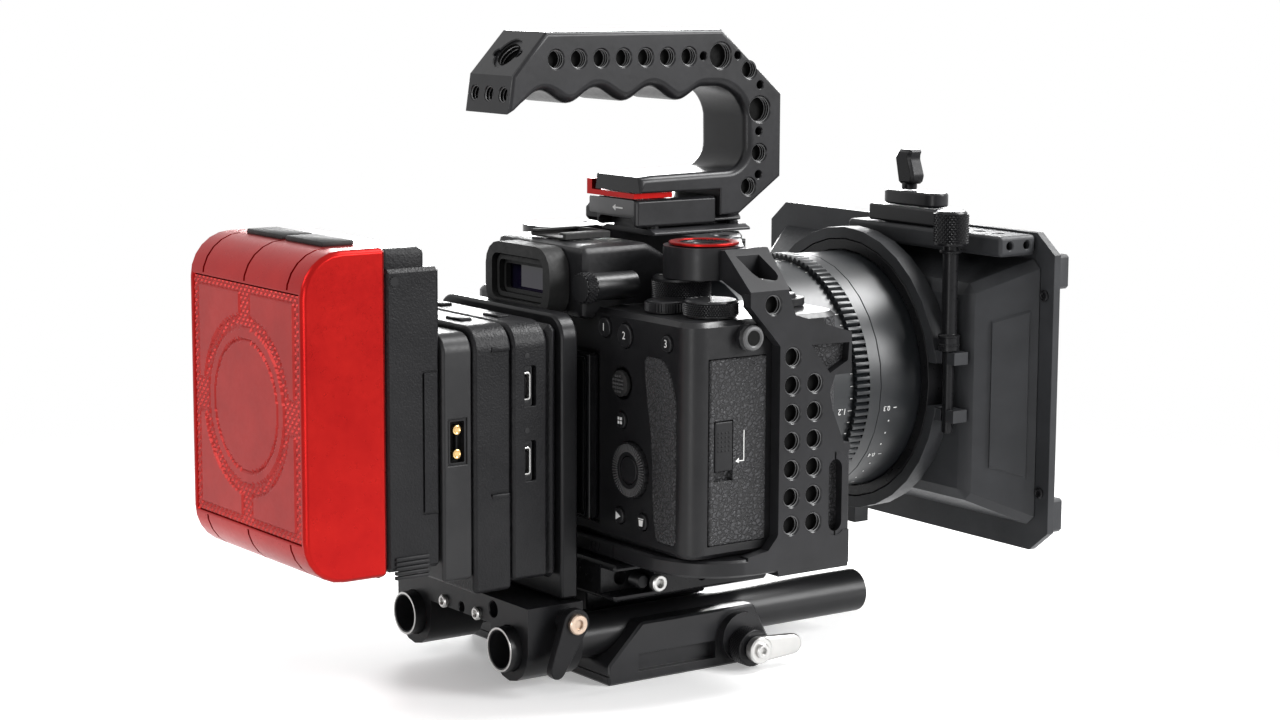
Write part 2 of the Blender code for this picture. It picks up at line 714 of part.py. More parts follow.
def build_base_lock():
    knob_start = BASE_HALF_WIDTH + LOCK_BOSS_LENGTH + GAP
    lever_start = knob_start + LOCK_KNOB_LENGTH + GAP
    lever_end = lever_start + LOCK_LEVER_THICKNESS
    knob_z = LOCK_KNOB_RADIUS + 3 * GAP
    disc("rod_lock_knob", LOCK_KNOB_RADIUS, knob_start, knob_start + LOCK_KNOB_LENGTH,
         (0, LOCK_BOSS_Y, knob_z), "X", BLACK_METAL)
    pivot = (lever_start, LOCK_BOSS_Y, knob_z)
    outline = arc((LOCK_BOSS_Y, knob_z), LOCK_LEVER_RADIUS, 90, 270, 8)
    outline += arc((LOCK_BOSS_Y + LOCK_LEVER_REACH, knob_z), LOCK_LEVER_RADIUS * 0.8, -90, 90, 8)
    prism("rod_lock_lever", [outline], "X", lever_start, lever_end, BRIGHT_METAL, origin=pivot, bevel=0.6)


def build_riser():
    block("riser", (-RISER_HALF_WIDTH, -RISER_LENGTH / 2, RISER_BOTTOM_Z),
          (RISER_HALF_WIDTH, RISER_LENGTH / 2, RISER_TOP_Z), BLACK_METAL, bevel=0.6)
    clamp = block("quick_release_clamp", (-CLAMP_HALF_WIDTH, CLAMP_REAR_Y, CLAMP_BOTTOM_Z),
                  (CLAMP_HALF_WIDTH, CLAMP_FRONT_Y, CLAMP_TOP_Z), BLACK_METAL, bevel=1.0)
    notch = block("clamp_notch",
                  (CLAMP_HALF_WIDTH - CLAMP_NOTCH_DEPTH, CLAMP_REAR_Y - 1, CLAMP_BOTTOM_Z + 2),
                  (CLAMP_HALF_WIDTH + 1, CLAMP_REAR_Y + CLAMP_NOTCH_LENGTH, CLAMP_TOP_Z - 2),
                  collection=CUTTERS)
    middle_z = (CLAMP_BOTTOM_Z + CLAMP_TOP_Z) / 2
    screw_y = CLAMP_REAR_Y + CLAMP_NOTCH_LENGTH / 2
    seat_x = CLAMP_HALF_WIDTH - CLAMP_NOTCH_DEPTH
    hole = disc("clamp_hole", CLAMP_SCREW_SHANK + GAP, seat_x - 4, seat_x + 1, (0, screw_y, middle_z), "X",
                collection=CUTTERS, steps=SMALL_STEPS)
    cut(clamp, notch, hole)


def cage_frame():
    """The cage seen along the lens: floor, two walls and a roof with sloping shoulders."""
    roof_under = CAGE_ROOF_TOP_Z - CAGE_ROOF
    shoulder_z = CAGE_ROOF_TOP_Z - CAGE_SHOULDER_DROP
    outer = (
        (CAGE_LEFT_X, CAGE_BOTTOM_Z),
        (CAGE_RIGHT_X + CAGE_TRIM, CAGE_BOTTOM_Z),
        (CAGE_RIGHT_X + CAGE_TRIM, shoulder_z),
        (CAGE_SHOULDER_X, CAGE_ROOF_TOP_Z),
        (CAGE_LEFT_SHOULDER_X, CAGE_ROOF_TOP_Z),
        (CAGE_LEFT_X, shoulder_z),
    )
    inner = (
        (CAGE_LEFT_X + CAGE_WALL, CAGE_BOTTOM_Z + CAGE_FLOOR),
        (CAGE_RIGHT_X - CAGE_WALL, CAGE_BOTTOM_Z + CAGE_FLOOR),
        (CAGE_RIGHT_X - CAGE_WALL, shoulder_z - CAGE_WALL / 2),
        (CAGE_SHOULDER_X - CAGE_WALL, roof_under),
        (CAGE_LEFT_SHOULDER_X + CAGE_WALL, roof_under),
        (CAGE_LEFT_X + CAGE_WALL, shoulder_z - CAGE_WALL / 2),
    )
    return prism("cage", [outer, inner], "Y", CAGE_REAR_Y, CAGE_FRONT_Y, BLACK_METAL)


def shoulder_arm():
    """The sloping arm from the right wall back to the round boss over the dials."""
    boss_under = CAGE_ROOF_TOP_Z - BOSS_HEIGHT + GAP
    shoulder_z = CAGE_ROOF_TOP_Z - CAGE_SHOULDER_DROP
    wall_x = CAGE_RIGHT_X - CAGE_WALL + GAP
    outline = (
        (wall_x, shoulder_z - CAGE_WALL),
        (CAGE_RIGHT_X + GAP, shoulder_z - CAGE_WALL),
        (CAGE_RIGHT_X + GAP, shoulder_z),
        (CAGE_SHOULDER_X, CAGE_ROOF_TOP_Z + GAP),
        (CAGE_SHOULDER_X - 1, CAGE_ROOF_TOP_Z - GAP),
        (BOSS_X, CAGE_ROOF_TOP_Z - GAP),
        (BOSS_X, boss_under),
        (CAGE_ARM_WAIST_X - 2, boss_under),
        (CAGE_ARM_DIAL_X, boss_under - GAP - CAGE_ARM_DIAL_DROP),
    )
    arm = prism("shoulder_arm", [outline], "Y", CAGE_ARM_REAR_Y, CAGE_REAR_Y + 2, collection=CUTTERS)
    behind = (
        (BOSS_X - 1, CAGE_ARM_REAR_Y - 1),
        (CAGE_RIGHT_X + 1, CAGE_ARM_REAR_Y - 1),
        (CAGE_RIGHT_X + 1, CAGE_ARM_REAR_Y + GAP),
        (CAGE_ARM_WAIST_X, CAGE_ARM_WAIST_Y),
        (BOSS_X - 1, CAGE_ARM_WAIST_Y),
    )
    cut(arm, prism("arm_waist", [behind], "Z", CAGE_BOTTOM_Z, CAGE_ROOF_TOP_Z + 2, collection=CUTTERS))
    return arm


def wall_gussets():
    """Webs on the right wall's rear edge: one under the arm, one where the wall turns into the floor."""
    shoulder_z = CAGE_ROOF_TOP_Z - CAGE_SHOULDER_DROP
    floor_z = CAGE_BOTTOM_Z + CAGE_FLOOR
    rear, front = CAGE_ARM_REAR_Y + 2 * GAP, CAGE_REAR_Y + 2
    upper = (
        (rear, shoulder_z - 1),
        (rear, shoulder_z - 5),
        ((rear + CAGE_REAR_Y) / 2 + 1, shoulder_z - 0.6 * CAGE_GUSSET_DROP),
        (CAGE_REAR_Y - GAP, shoulder_z - 0.85 * CAGE_GUSSET_DROP),
        (front, shoulder_z - CAGE_GUSSET_DROP),
        (front, shoulder_z - 1),
    )
    lower = (
        (rear, floor_z - 1),
        (front, floor_z - 1),
        (front, floor_z + 11),
        (CAGE_REAR_Y - 0.5, floor_z + 5.5),
        (CAGE_REAR_Y - 4, floor_z + 1.6),
        (rear, floor_z + GAP),
    )
    webs = []
    for outline in (upper, lower):
        webs.append(prism("wall_gusset", [outline], "X", CAGE_RIGHT_X - CAGE_WALL + 2 * GAP,
                          CAGE_RIGHT_X + 2 * GAP,
                          collection=CUTTERS))
    return webs


def cage_shelf():
    """The floor behind the walls, carried round the camera's lower right corner."""
    right = CAGE_RIGHT_X + GAP
    rear = CAGE_REAR_Y - CAGE_FLOOR_REACH
    corner = CAGE_FLOOR_CORNER
    outline = [(-CAGE_FLOOR_HALF_WIDTH, rear)]
    outline += arc((right - corner, rear + corner), corner, -90, 0, 8)
    outline += [(right, CAGE_REAR_Y + 2), (-CAGE_FLOOR_HALF_WIDTH, CAGE_REAR_Y + 2)]
    return prism("cage_shelf", [outline], "Z", CAGE_BOTTOM_Z + GAP, CAGE_BOTTOM_Z + CAGE_FLOOR - GAP,
                 collection=CUTTERS, bevel=0.8)


def cage_trim():
    """What is milled off last, so that wall, arm and webs end flush."""
    shoulder_z = CAGE_ROOF_TOP_Z - CAGE_SHOULDER_DROP
    slope = (CAGE_RIGHT_X - CAGE_SHOULDER_X) / CAGE_SHOULDER_DROP
    rise = 6.0
    outline = (
        (CAGE_RIGHT_X, CAGE_BOTTOM_Z - 5),
        (CAGE_RIGHT_X + 5, CAGE_BOTTOM_Z - 5),
        (CAGE_RIGHT_X + 5, CAGE_ROOF_TOP_Z + rise),
        (CAGE_SHOULDER_X - CAGE_TRIM - slope * rise, CAGE_ROOF_TOP_Z - CAGE_TRIM + rise),
        (CAGE_RIGHT_X, shoulder_z - CAGE_TRIM),
    )
    return prism("cage_trim", [outline], "Y", CAGE_REAR_Y - CAGE_FLOOR_REACH - 1, CAGE_FRONT_Y + 1,
                 collection=CUTTERS)


def scoop_outline(low, high):
    """A scoop out of the cage wall's front edge, deepest near its top."""
    front = CAGE_FRONT_Y
    depth = CAGE_SCOOP_DEPTH
    return (
        (front + 1, low),
        (front + 1, high),
        (front - depth * 0.75, high),
        (front - depth, high - depth * 0.6),
        (front - depth * 0.85, (low + high) / 2),
        (front - depth * 0.3, low),
    )


def build_cage():
    cage = cage_frame()
    roof_under = CAGE_ROOF_TOP_Z - CAGE_ROOF
    nose = block("cage_nose", (-CAGE_NOSE_HALF, CAGE_FRONT_Y - 2, CAGE_ROOF_TOP_Z - CAGE_NOSE_HEIGHT),
                 (CAGE_NOSE_HALF, CAGE_FRONT_Y + CAGE_NOSE_LENGTH, CAGE_ROOF_TOP_Z - GAP / 2),
                 collection=CUTTERS, bevel=1.6)
    wall_foot = block("wall_foot", (CLAMP_HALF_WIDTH + 2, CAGE_REAR_Y + GAP, CAGE_BOTTOM_Z - CAGE_FOOT_DROP),
                      (CAGE_RIGHT_X + GAP / 2, CAGE_FRONT_Y - GAP, CAGE_BOTTOM_Z + 2), collection=CUTTERS)
    joined = [cage_shelf(), nose, wall_foot, shoulder_arm(), *wall_gussets()]
    for x, height in ((BOSS_X, BOSS_HEIGHT), (LEFT_BOSS_X, CAGE_ROOF - GAP)):
        boss = disc("roof_boss", BOSS_RADIUS, CAGE_ROOF_TOP_Z - height, CAGE_ROOF_TOP_Z + GAP,
                    (x, BOSS_Y, 0), "Z", collection=CUTTERS)
        joined.append(boss)
    join(cage, *joined)
    cut(cage, cage_trim())
    notch_half = HUMP_HALF_WIDTH + 1.5
    notch = block("hump_notch", (-notch_half, CAGE_REAR_Y - BOSS_RADIUS, roof_under - 1),
                  (notch_half, HUMP_FRONT_Y + 1.5, CAGE_ROOF_TOP_Z + 1), collection=CUTTERS)
    cut(cage, notch)
    wall_start = CAGE_RIGHT_X - CAGE_SOCKET_DEPTH
    cutters = []
    for column in range(2):
        y = CAGE_REAR_Y + CAGE_SOCKET_MARGIN + column * CAGE_SOCKET_PITCH
        for row in range(column, CAGE_SOCKET_ROWS):
            z = CAGE_SOCKET_TOP_Z - row * CAGE_SOCKET_PITCH
            cutters.append(disc("cage_socket", CAGE_SOCKET_RADIUS, wall_start, CAGE_RIGHT_X + 1, (0, y, z),
                                "X",
                                collection=CUTTERS, steps=SOCKET_STEPS))
    for low, high in CAGE_SCOOPS:
        cutters.append(prism("cage_scoop", [scoop_outline(low, high)], "X", CAGE_RIGHT_X - CAGE_WALL - 2,
                             CAGE_RIGHT_X + 2, collection=CUTTERS))
    ledge = (
        (CAGE_LEDGE_REAR_Y, CAGE_LEDGE_TOP_Z),
        (CAGE_FRONT_Y + 1, CAGE_LEDGE_TOP_Z - CAGE_LEDGE_DROP),
        (CAGE_FRONT_Y + 1, CAGE_ROOF_TOP_Z + 2),
        (CAGE_LEDGE_REAR_Y + 6, CAGE_ROOF_TOP_Z + 2),
        (CAGE_LEDGE_REAR_Y - 3, CAGE_LEDGE_TOP_Z + 8),
    )
    cutters.append(prism("cage_ledge", [ledge], "X", CAGE_SHOULDER_X - 4, CAGE_RIGHT_X + 2,
                         collection=CUTTERS))
    corner = (
        (CAGE_CORNER_X, CAGE_FRONT_Y + 1),
        (BOSS_X + BOSS_RADIUS / 2, CAGE_CORNER_REAR_Y),
        (CAGE_SHOULDER_X - 3, CAGE_CORNER_REAR_Y - 4),
        (CAGE_SHOULDER_X - 3, CAGE_FRONT_Y + 1),
    )
    cutters.append(prism("roof_corner", [corner], "Z", roof_under - 2, CAGE_ROOF_TOP_Z + 2,
                         collection=CUTTERS))
    window_front_y = CAGE_WINDOW_REAR_Y + CAGE_WINDOW_WIDTH
    round_x = CAGE_WINDOW_RIGHT_X - CAGE_WINDOW_WIDTH / 2
    window = [(CAGE_WINDOW_LEFT_X, window_front_y), (CAGE_WINDOW_LEFT_X, CAGE_WINDOW_REAR_Y)]
    window += arc((round_x, (CAGE_WINDOW_REAR_Y + window_front_y) / 2), CAGE_WINDOW_WIDTH / 2, -90, 90, 6)
    cutters.append(prism("shoulder_window", [window], "Z", roof_under - CAGE_SHOULDER_DROP,
                         CAGE_ROOF_TOP_Z + 2,
                         collection=CUTTERS))
    cut(cage, *cutters)
    tube("boss_ring", RING_OUTER, RING_INNER, CAGE_ROOF_TOP_Z + 2 * GAP,
         CAGE_ROOF_TOP_Z + 2 * GAP + RING_HEIGHT,
         (BOSS_X, BOSS_Y, 0), "Z", RED_PLASTIC)


def body_outline():
    """The camera body seen from above, with the grip at its right front."""
    corner = BODY_CORNER
    grip = corner + 3
    points = arc((BODY_RIGHT_X - corner, BODY_REAR_Y + corner), corner, -90, 0, 4)
    points += arc((BODY_RIGHT_X - grip, GRIP_FRONT_Y - grip), grip, 0, 90, 5)
    points += arc((GRIP_INNER_X + 2 * grip, GRIP_FRONT_Y - grip), grip, 90, 150, 4)
    points += [(GRIP_INNER_X, BODY_FRONT_Y)]
    points += arc((BODY_LEFT_X + corner, BODY_FRONT_Y - corner), corner, 90, 180, 4)
    points += arc((BODY_LEFT_X + corner, BODY_REAR_Y + corner), corner, 180, 270, 4)
    return points


def hump_outline():
    """The viewfinder hump seen from the side, sloping down to the front."""
    return (
        (HUMP_REAR_Y, BODY_TOP_Z - 4),
        (HUMP_FRONT_Y, BODY_TOP_Z - 4),
        (HUMP_FRONT_Y, HUMP_TOP_Z - HUMP_FRONT_DROP),
        (HUMP_FRONT_Y - HUMP_SLOPE_LENGTH, HUMP_TOP_Z),
        (HUMP_REAR_Y, HUMP_TOP_Z),
    )


def rear_socket(x, z, radius, depth, steps=SMALL_STEPS):
    return disc("rear_socket", radius, BODY_REAR_Y - 1, BODY_REAR_Y + depth, (x, 0, z), "Y",
                collection=CUTTERS, steps=steps)


def build_camera_body():
    body = prism("camera_body", [body_outline()], "Z", BODY_BOTTOM_Z, BODY_TOP_Z, BLACK_PLASTIC, bevel=1.6)
    hump = prism("hump", [hump_outline()], "X", -HUMP_HALF_WIDTH, HUMP_HALF_WIDTH, collection=CUTTERS,
                 bevel=3.0,
                 segments=2)
    mount = disc("mount", MOUNT_RADIUS, BODY_FRONT_Y - 2, BODY_FRONT_Y + MOUNT_LENGTH, (0, 0, LENS_AXIS_Z),
                 "Y",
                 collection=CUTTERS)
    sleeve_rear = HUMP_REAR_Y + DIOPTER_LENGTH / 2 + GAP
    sleeve = disc("diopter_sleeve", DIOPTER_RADIUS - GAP, sleeve_rear, sleeve_rear + DIOPTER_SLEEVE_LENGTH,
                  (DIOPTER_X, 0, DIOPTER_Z), "Y", collection=CUTTERS, steps=SMALL_STEPS)
    lug = turned("strap_lug", ((0, LUG_LENGTH), (LUG_RADIUS * 0.5, LUG_LENGTH), (LUG_RADIUS, LUG_LENGTH / 2),
                               (LUG_RADIUS, -1), (0, -1)),
                 (BODY_RIGHT_X, LUG_Y, LUG_Z), "X", collection=CUTTERS, steps=SMALL_STEPS)
    join(body, hump, mount, sleeve, lug)
    dial_room = disc("diopter_room", DIOPTER_RADIUS + GAP, HUMP_REAR_Y - 4, sleeve_rear,
                     (DIOPTER_X, 0, DIOPTER_Z), "Y", collection=CUTTERS, steps=SMALL_STEPS)
    screen_room = block("screen_room", (SCREEN_LEFT_X - 1, BODY_REAR_Y - 1, SCREEN_BOTTOM_Z - 1),
                        (SCREEN_RIGHT_X + 1, BODY_REAR_Y + SCREEN_RECESS,
                         SCREEN_BOTTOM_Z + SCREEN_HEIGHT + 1),
                        collection=CUTTERS)
    door_room = block("door_room", (BODY_RIGHT_X + DOOR_PROUD - DOOR_THICKNESS - GAP, DOOR_REAR_Y - GAP,
                                    DOOR_BOTTOM_Z - GAP),
                      (BODY_RIGHT_X + 2, DOOR_FRONT_Y + GAP, DOOR_BOTTOM_Z + DOOR_HEIGHT + GAP),
                      collection=CUTTERS)
    cutters = [dial_room, screen_room, door_room]
    button_depth = BUTTON_LENGTH - BUTTON_PROUD + BUTTON_TRAVEL + GAP
    for name, x, z, radius in REAR_BUTTONS:
        cutters.append(rear_socket(x, z, radius + GAP, button_depth))
    cutters.append(rear_socket(JOYSTICK_X, JOYSTICK_Z, JOYSTICK_RADIUS + 4 * GAP, JOYSTICK_LENGTH))
    cutters.append(rear_socket(WHEEL_X, WHEEL_Z, WHEEL_RADIUS + GAP, WHEEL_RECESS, ROUND_STEPS))
    cutters.append(rear_socket(WHEEL_X, WHEEL_Z, WHEEL_BORE, WHEEL_RECESS + BUTTON_TRAVEL + 2 * GAP + 1))
    shutter_room = disc("shutter_room", SHUTTER_RADIUS + GAP, BODY_TOP_Z - SHUTTER_TRAVEL - 2 * GAP - 1,
                        BODY_TOP_Z + 1, (SHUTTER_X, SHUTTER_Y, 0), "Z", collection=CUTTERS, steps=SMALL_STEPS)
    cut(body, shutter_room, *cutters)


def build_viewfinder():
    rear = HUMP_REAR_Y - GAP
    low = (-EYECUP_HALF_WIDTH, EYECUP_CENTRE_Z - EYECUP_HEIGHT / 2)
    high = (EYECUP_HALF_WIDTH, EYECUP_CENTRE_Z + EYECUP_HEIGHT / 2)
    wall = EYECUP_WALL
    inside = rounded_box((low[0] + wall, low[1] + wall), (high[0] - wall, high[1] - wall),
                         EYECUP_CORNER - wall - 1)
    prism("eyecup", [rounded_box(low, high, EYECUP_CORNER), inside], "Y", rear - EYECUP_DEPTH, rear, RUBBER,
          bevel=1.0)
    fit = wall + GAP
    glass = [rounded_box((low[0] + fit, low[1] + fit), (high[0] - fit, high[1] - fit),
                         EYECUP_CORNER - fit - 1)]
    prism("eyepiece_glass", glass, "Y", rear - EYE_GLASS_THICKNESS, rear, GLASS)
    dial_end = HUMP_REAR_Y + DIOPTER_LENGTH / 2
    centre = (DIOPTER_X, dial_end - DIOPTER_LENGTH, DIOPTER_Z)
    outline = ribbed(DIOPTER_RADIUS, 0.4, 18, (centre[0], centre[2]))
    prism("diopter_dial", [outline], "Y", dial_end - DIOPTER_LENGTH, dial_end, BLACK_PLASTIC, origin=centre)
    shoe_low = HUMP_TOP_Z + GAP
    shoe = block("hot_shoe", (-SHOE_HALF_WIDTH, SHOE_REAR_Y, shoe_low),
                 (SHOE_HALF_WIDTH, SHOE_REAR_Y + SHOE_LENGTH, shoe_low + SHOE_HEIGHT), SATIN_METAL, bevel=0.3)
    groove = block("shoe_groove", (-SHOE_HALF_WIDTH + 1.5, SHOE_REAR_Y - 1, shoe_low + 0.8),
                   (SHOE_HALF_WIDTH - 1.5, SHOE_REAR_Y + SHOE_LENGTH - 1.5, shoe_low + 1.7),
                   collection=CUTTERS)
    mouth = block("shoe_mouth", (-SHOE_HALF_WIDTH + 3.5, SHOE_REAR_Y - 1, shoe_low + 0.8),
                  (SHOE_HALF_WIDTH - 3.5, SHOE_REAR_Y + SHOE_LENGTH - 1.5, shoe_low + SHOE_HEIGHT + 1),
                  collection=CUTTERS)
    cut(shoe, groove, mouth)
    inner_y = BODY_REAR_Y + SCREEN_RECESS - GAP
    hinge = (SCREEN_LEFT_X, inner_y - SCREEN_THICKNESS / 2, SCREEN_BOTTOM_Z)
    block("screen", (SCREEN_LEFT_X, inner_y - SCREEN_THICKNESS, SCREEN_BOTTOM_Z),
          (SCREEN_RIGHT_X, inner_y, SCREEN_BOTTOM_Z + SCREEN_HEIGHT), BLACK_PLASTIC, origin=hinge, bevel=0.8)


def build_top_controls():
    for name, size, rib in (("mode_dial", MODE_DIAL, 1), ("exposure_dial", EXPOSURE_DIAL, 1),
                            ("rear_dial", REAR_DIAL, 2)):
        x, y, radius, height = size
        low = BODY_TOP_Z + GAP
        outline = ribbed(radius, DIAL_RIB_DEPTH * rib, DIAL_RIBS, (x, y))
        prism(name, [outline], "Z", low, low + height, BLACK_PLASTIC, origin=(x, y, low))
    low = BODY_TOP_Z - 1
    disc("shutter_button", SHUTTER_RADIUS, 0, SHUTTER_HEIGHT + 1, (SHUTTER_X, SHUTTER_Y, low), "Z",
         BLACK_PLASTIC,
         steps=SMALL_STEPS)
    inner = SHUTTER_RADIUS + GAP
    tube("power_ring", inner + POWER_RING_WALL, inner, 0, POWER_RING_HEIGHT,
         (SHUTTER_X, SHUTTER_Y, BODY_TOP_Z + GAP),
         "Z", BLACK_PLASTIC, steps=SMALL_STEPS + 4)


def build_rear_controls():
    for name, x, z, radius in REAR_BUTTONS:
        outer = BODY_REAR_Y - BUTTON_PROUD
        profile = (
            (0, BUTTON_LENGTH),
            (radius, BUTTON_LENGTH),
            (radius, 0.4),
            (radius - 0.4, 0),
            (0, 0),
        )
        turned(name, profile, (x, outer, z), "Y", BLACK_PLASTIC, steps=SMALL_STEPS)
    cap = JOYSTICK_RADIUS
    profile = (
        (0, JOYSTICK_LENGTH - GAP),
        (cap * 0.5, JOYSTICK_LENGTH - GAP),
        (cap * 0.5, 1.0),
        (cap, 0.2),
        (cap, -1.2),
        (cap * 0.7, -1.8),
        (0, -1.4),
    )
    turned("joystick", profile, (JOYSTICK_X, BODY_REAR_Y, JOYSTICK_Z), "Y", BLACK_PLASTIC, steps=SMALL_STEPS)
    seat = BODY_REAR_Y + WHEEL_RECESS - GAP
    centre = (WHEEL_X, seat - WHEEL_THICKNESS, WHEEL_Z)
    outline = ribbed(WHEEL_RADIUS, 0.5, WHEEL_RIBS, (WHEEL_X, WHEEL_Z))
    prism("control_wheel", [outline, circle((WHEEL_X, WHEEL_Z), WHEEL_BORE, ROUND_STEPS)], "Y",
          seat - WHEEL_THICKNESS, seat,
          BLACK_PLASTIC, origin=centre)
    disc("wheel_button", WHEEL_BORE - GAP, 0, WHEEL_THICKNESS + GAP + 1, centre, "Y", BLACK_PLASTIC,
         steps=SMALL_STEPS)


def build_card_door():
    outer = BODY_RIGHT_X + DOOR_PROUD
    inner = outer - DOOR_THICKNESS
    hinge = (outer, DOOR_FRONT_Y, DOOR_BOTTOM_Z)
    door = block("card_door", (inner, DOOR_REAR_Y, DOOR_BOTTOM_Z),
                 (outer, DOOR_FRONT_Y, DOOR_BOTTOM_Z + DOOR_HEIGHT), RUBBER, origin=hinge, bevel=0.4)
    floor = outer - LATCH_THICKNESS
    room = block("latch_room", (floor - GAP, LATCH_Y - LATCH_WIDTH / 2 - GAP,
                                LATCH_Z - LATCH_LENGTH / 2 - LATCH_TRAVEL - GAP),
                 (outer + 1, LATCH_Y + LATCH_WIDTH / 2 + GAP, LATCH_Z + LATCH_LENGTH / 2 + GAP),
                 collection=CUTTERS)
    cut(door, room)
    block("card_latch", (floor, LATCH_Y - LATCH_WIDTH / 2, LATCH_Z - LATCH_LENGTH / 2),
          (outer + GAP, LATCH_Y + LATCH_WIDTH / 2, LATCH_Z + LATCH_LENGTH / 2), BLACK_PLASTIC,
          origin=(floor, LATCH_Y, LATCH_Z), bevel=0.3)


def build_lens():
    axis = (0, 0, LENS_AXIS_Z)
    bore_room = GAP
    shoulder = LENS_REAR_Y + LENS_REAR_LENGTH
    tube_end = FRONT_REAR_Y - GAP
    profile = (
        (0, tube_end),
        (LENS_TUBE_RADIUS, tube_end),
        (LENS_TUBE_RADIUS, shoulder),
        (IRIS_RADIUS - 1, shoulder),
        (IRIS_RADIUS - 1, shoulder - 8),
        (LENS_REAR_RADIUS, shoulder - 14),
        (LENS_REAR_RADIUS, LENS_REAR_Y),
        (0, LENS_REAR_Y),
    )
    turned("lens_barrel", profile, axis, "Y", BLACK_METAL, steps=LENS_STEPS)
    inner = LENS_TUBE_RADIUS + bore_room
    iris = [ribbed(IRIS_RADIUS, 0.9, IRIS_FLUTES, (0, LENS_AXIS_Z)),
            circle((0, LENS_AXIS_Z), inner, LENS_STEPS)]
    iris_end = IRIS_REAR_Y + IRIS_LENGTH
    prism("iris_ring", iris, "Y", IRIS_REAR_Y, iris_end, BLACK_METAL, origin=(0, IRIS_REAR_Y, LENS_AXIS_Z))
    gear_rear = FOCUS_REAR_Y + FOCUS_REAR_LENGTH
    gear_end = gear_rear + GEAR_LENGTH
    teeth = round(2 * GEAR_TIP_RADIUS / GEAR_MODULE) - 2
    seat = (inner + FOCUS_RADIUS) / 2
    gear = [ribbed(GEAR_TIP_RADIUS, 2.25 * GEAR_MODULE, teeth, (0, LENS_AXIS_Z)),
            circle((0, LENS_AXIS_Z), seat, LENS_STEPS)]
    focus = prism("focus_ring", gear, "Y", gear_rear, gear_end, BLACK_METAL,
                  origin=(0, gear_rear, LENS_AXIS_Z))
    focus_end = gear_end + FOCUS_FRONT_LENGTH
    profile = (
        (FRONT_RADIUS, focus_end),
        (FRONT_RADIUS, gear_end + GEAR_NECK),
        (FOCUS_RADIUS, gear_end + GEAR_NECK),
        (FOCUS_RADIUS, FOCUS_REAR_Y),
        (inner, FOCUS_REAR_Y),
        (inner, focus_end),
    )
    sleeve = turned("focus_sleeve", profile, axis, "Y", collection=CUTTERS, steps=LENS_STEPS, ring=True)
    join(focus, sleeve)
    seat = FRONT_END_Y - FRONT_GLASS_DEPTH
    glass_room = FRONT_GLASS_RADIUS + GAP
    profile = (
        (0, seat - FRONT_GLASS_THICKNESS),
        (glass_room, seat - FRONT_GLASS_THICKNESS),
        (glass_room, seat),
        (FRONT_RADIUS - 2, FRONT_END_Y),
        (FRONT_RADIUS, FRONT_END_Y),
        (FRONT_RADIUS, FRONT_REAR_Y),
        (0, FRONT_REAR_Y),
    )
    turned("lens_front_barrel", profile, axis, "Y", BLACK_METAL, steps=LENS_STEPS)
    back = seat - FRONT_GLASS_THICKNESS + GAP
    profile = (
        (0, seat - 0.5),
        (FRONT_GLASS_RADIUS * 0.5, seat - 1.1),
        (FRONT_GLASS_RADIUS, seat - 3),
        (FRONT_GLASS_RADIUS, back),
        (0, back),
    )
    turned("lens_front_glass", profile, axis, "Y", GLASS)


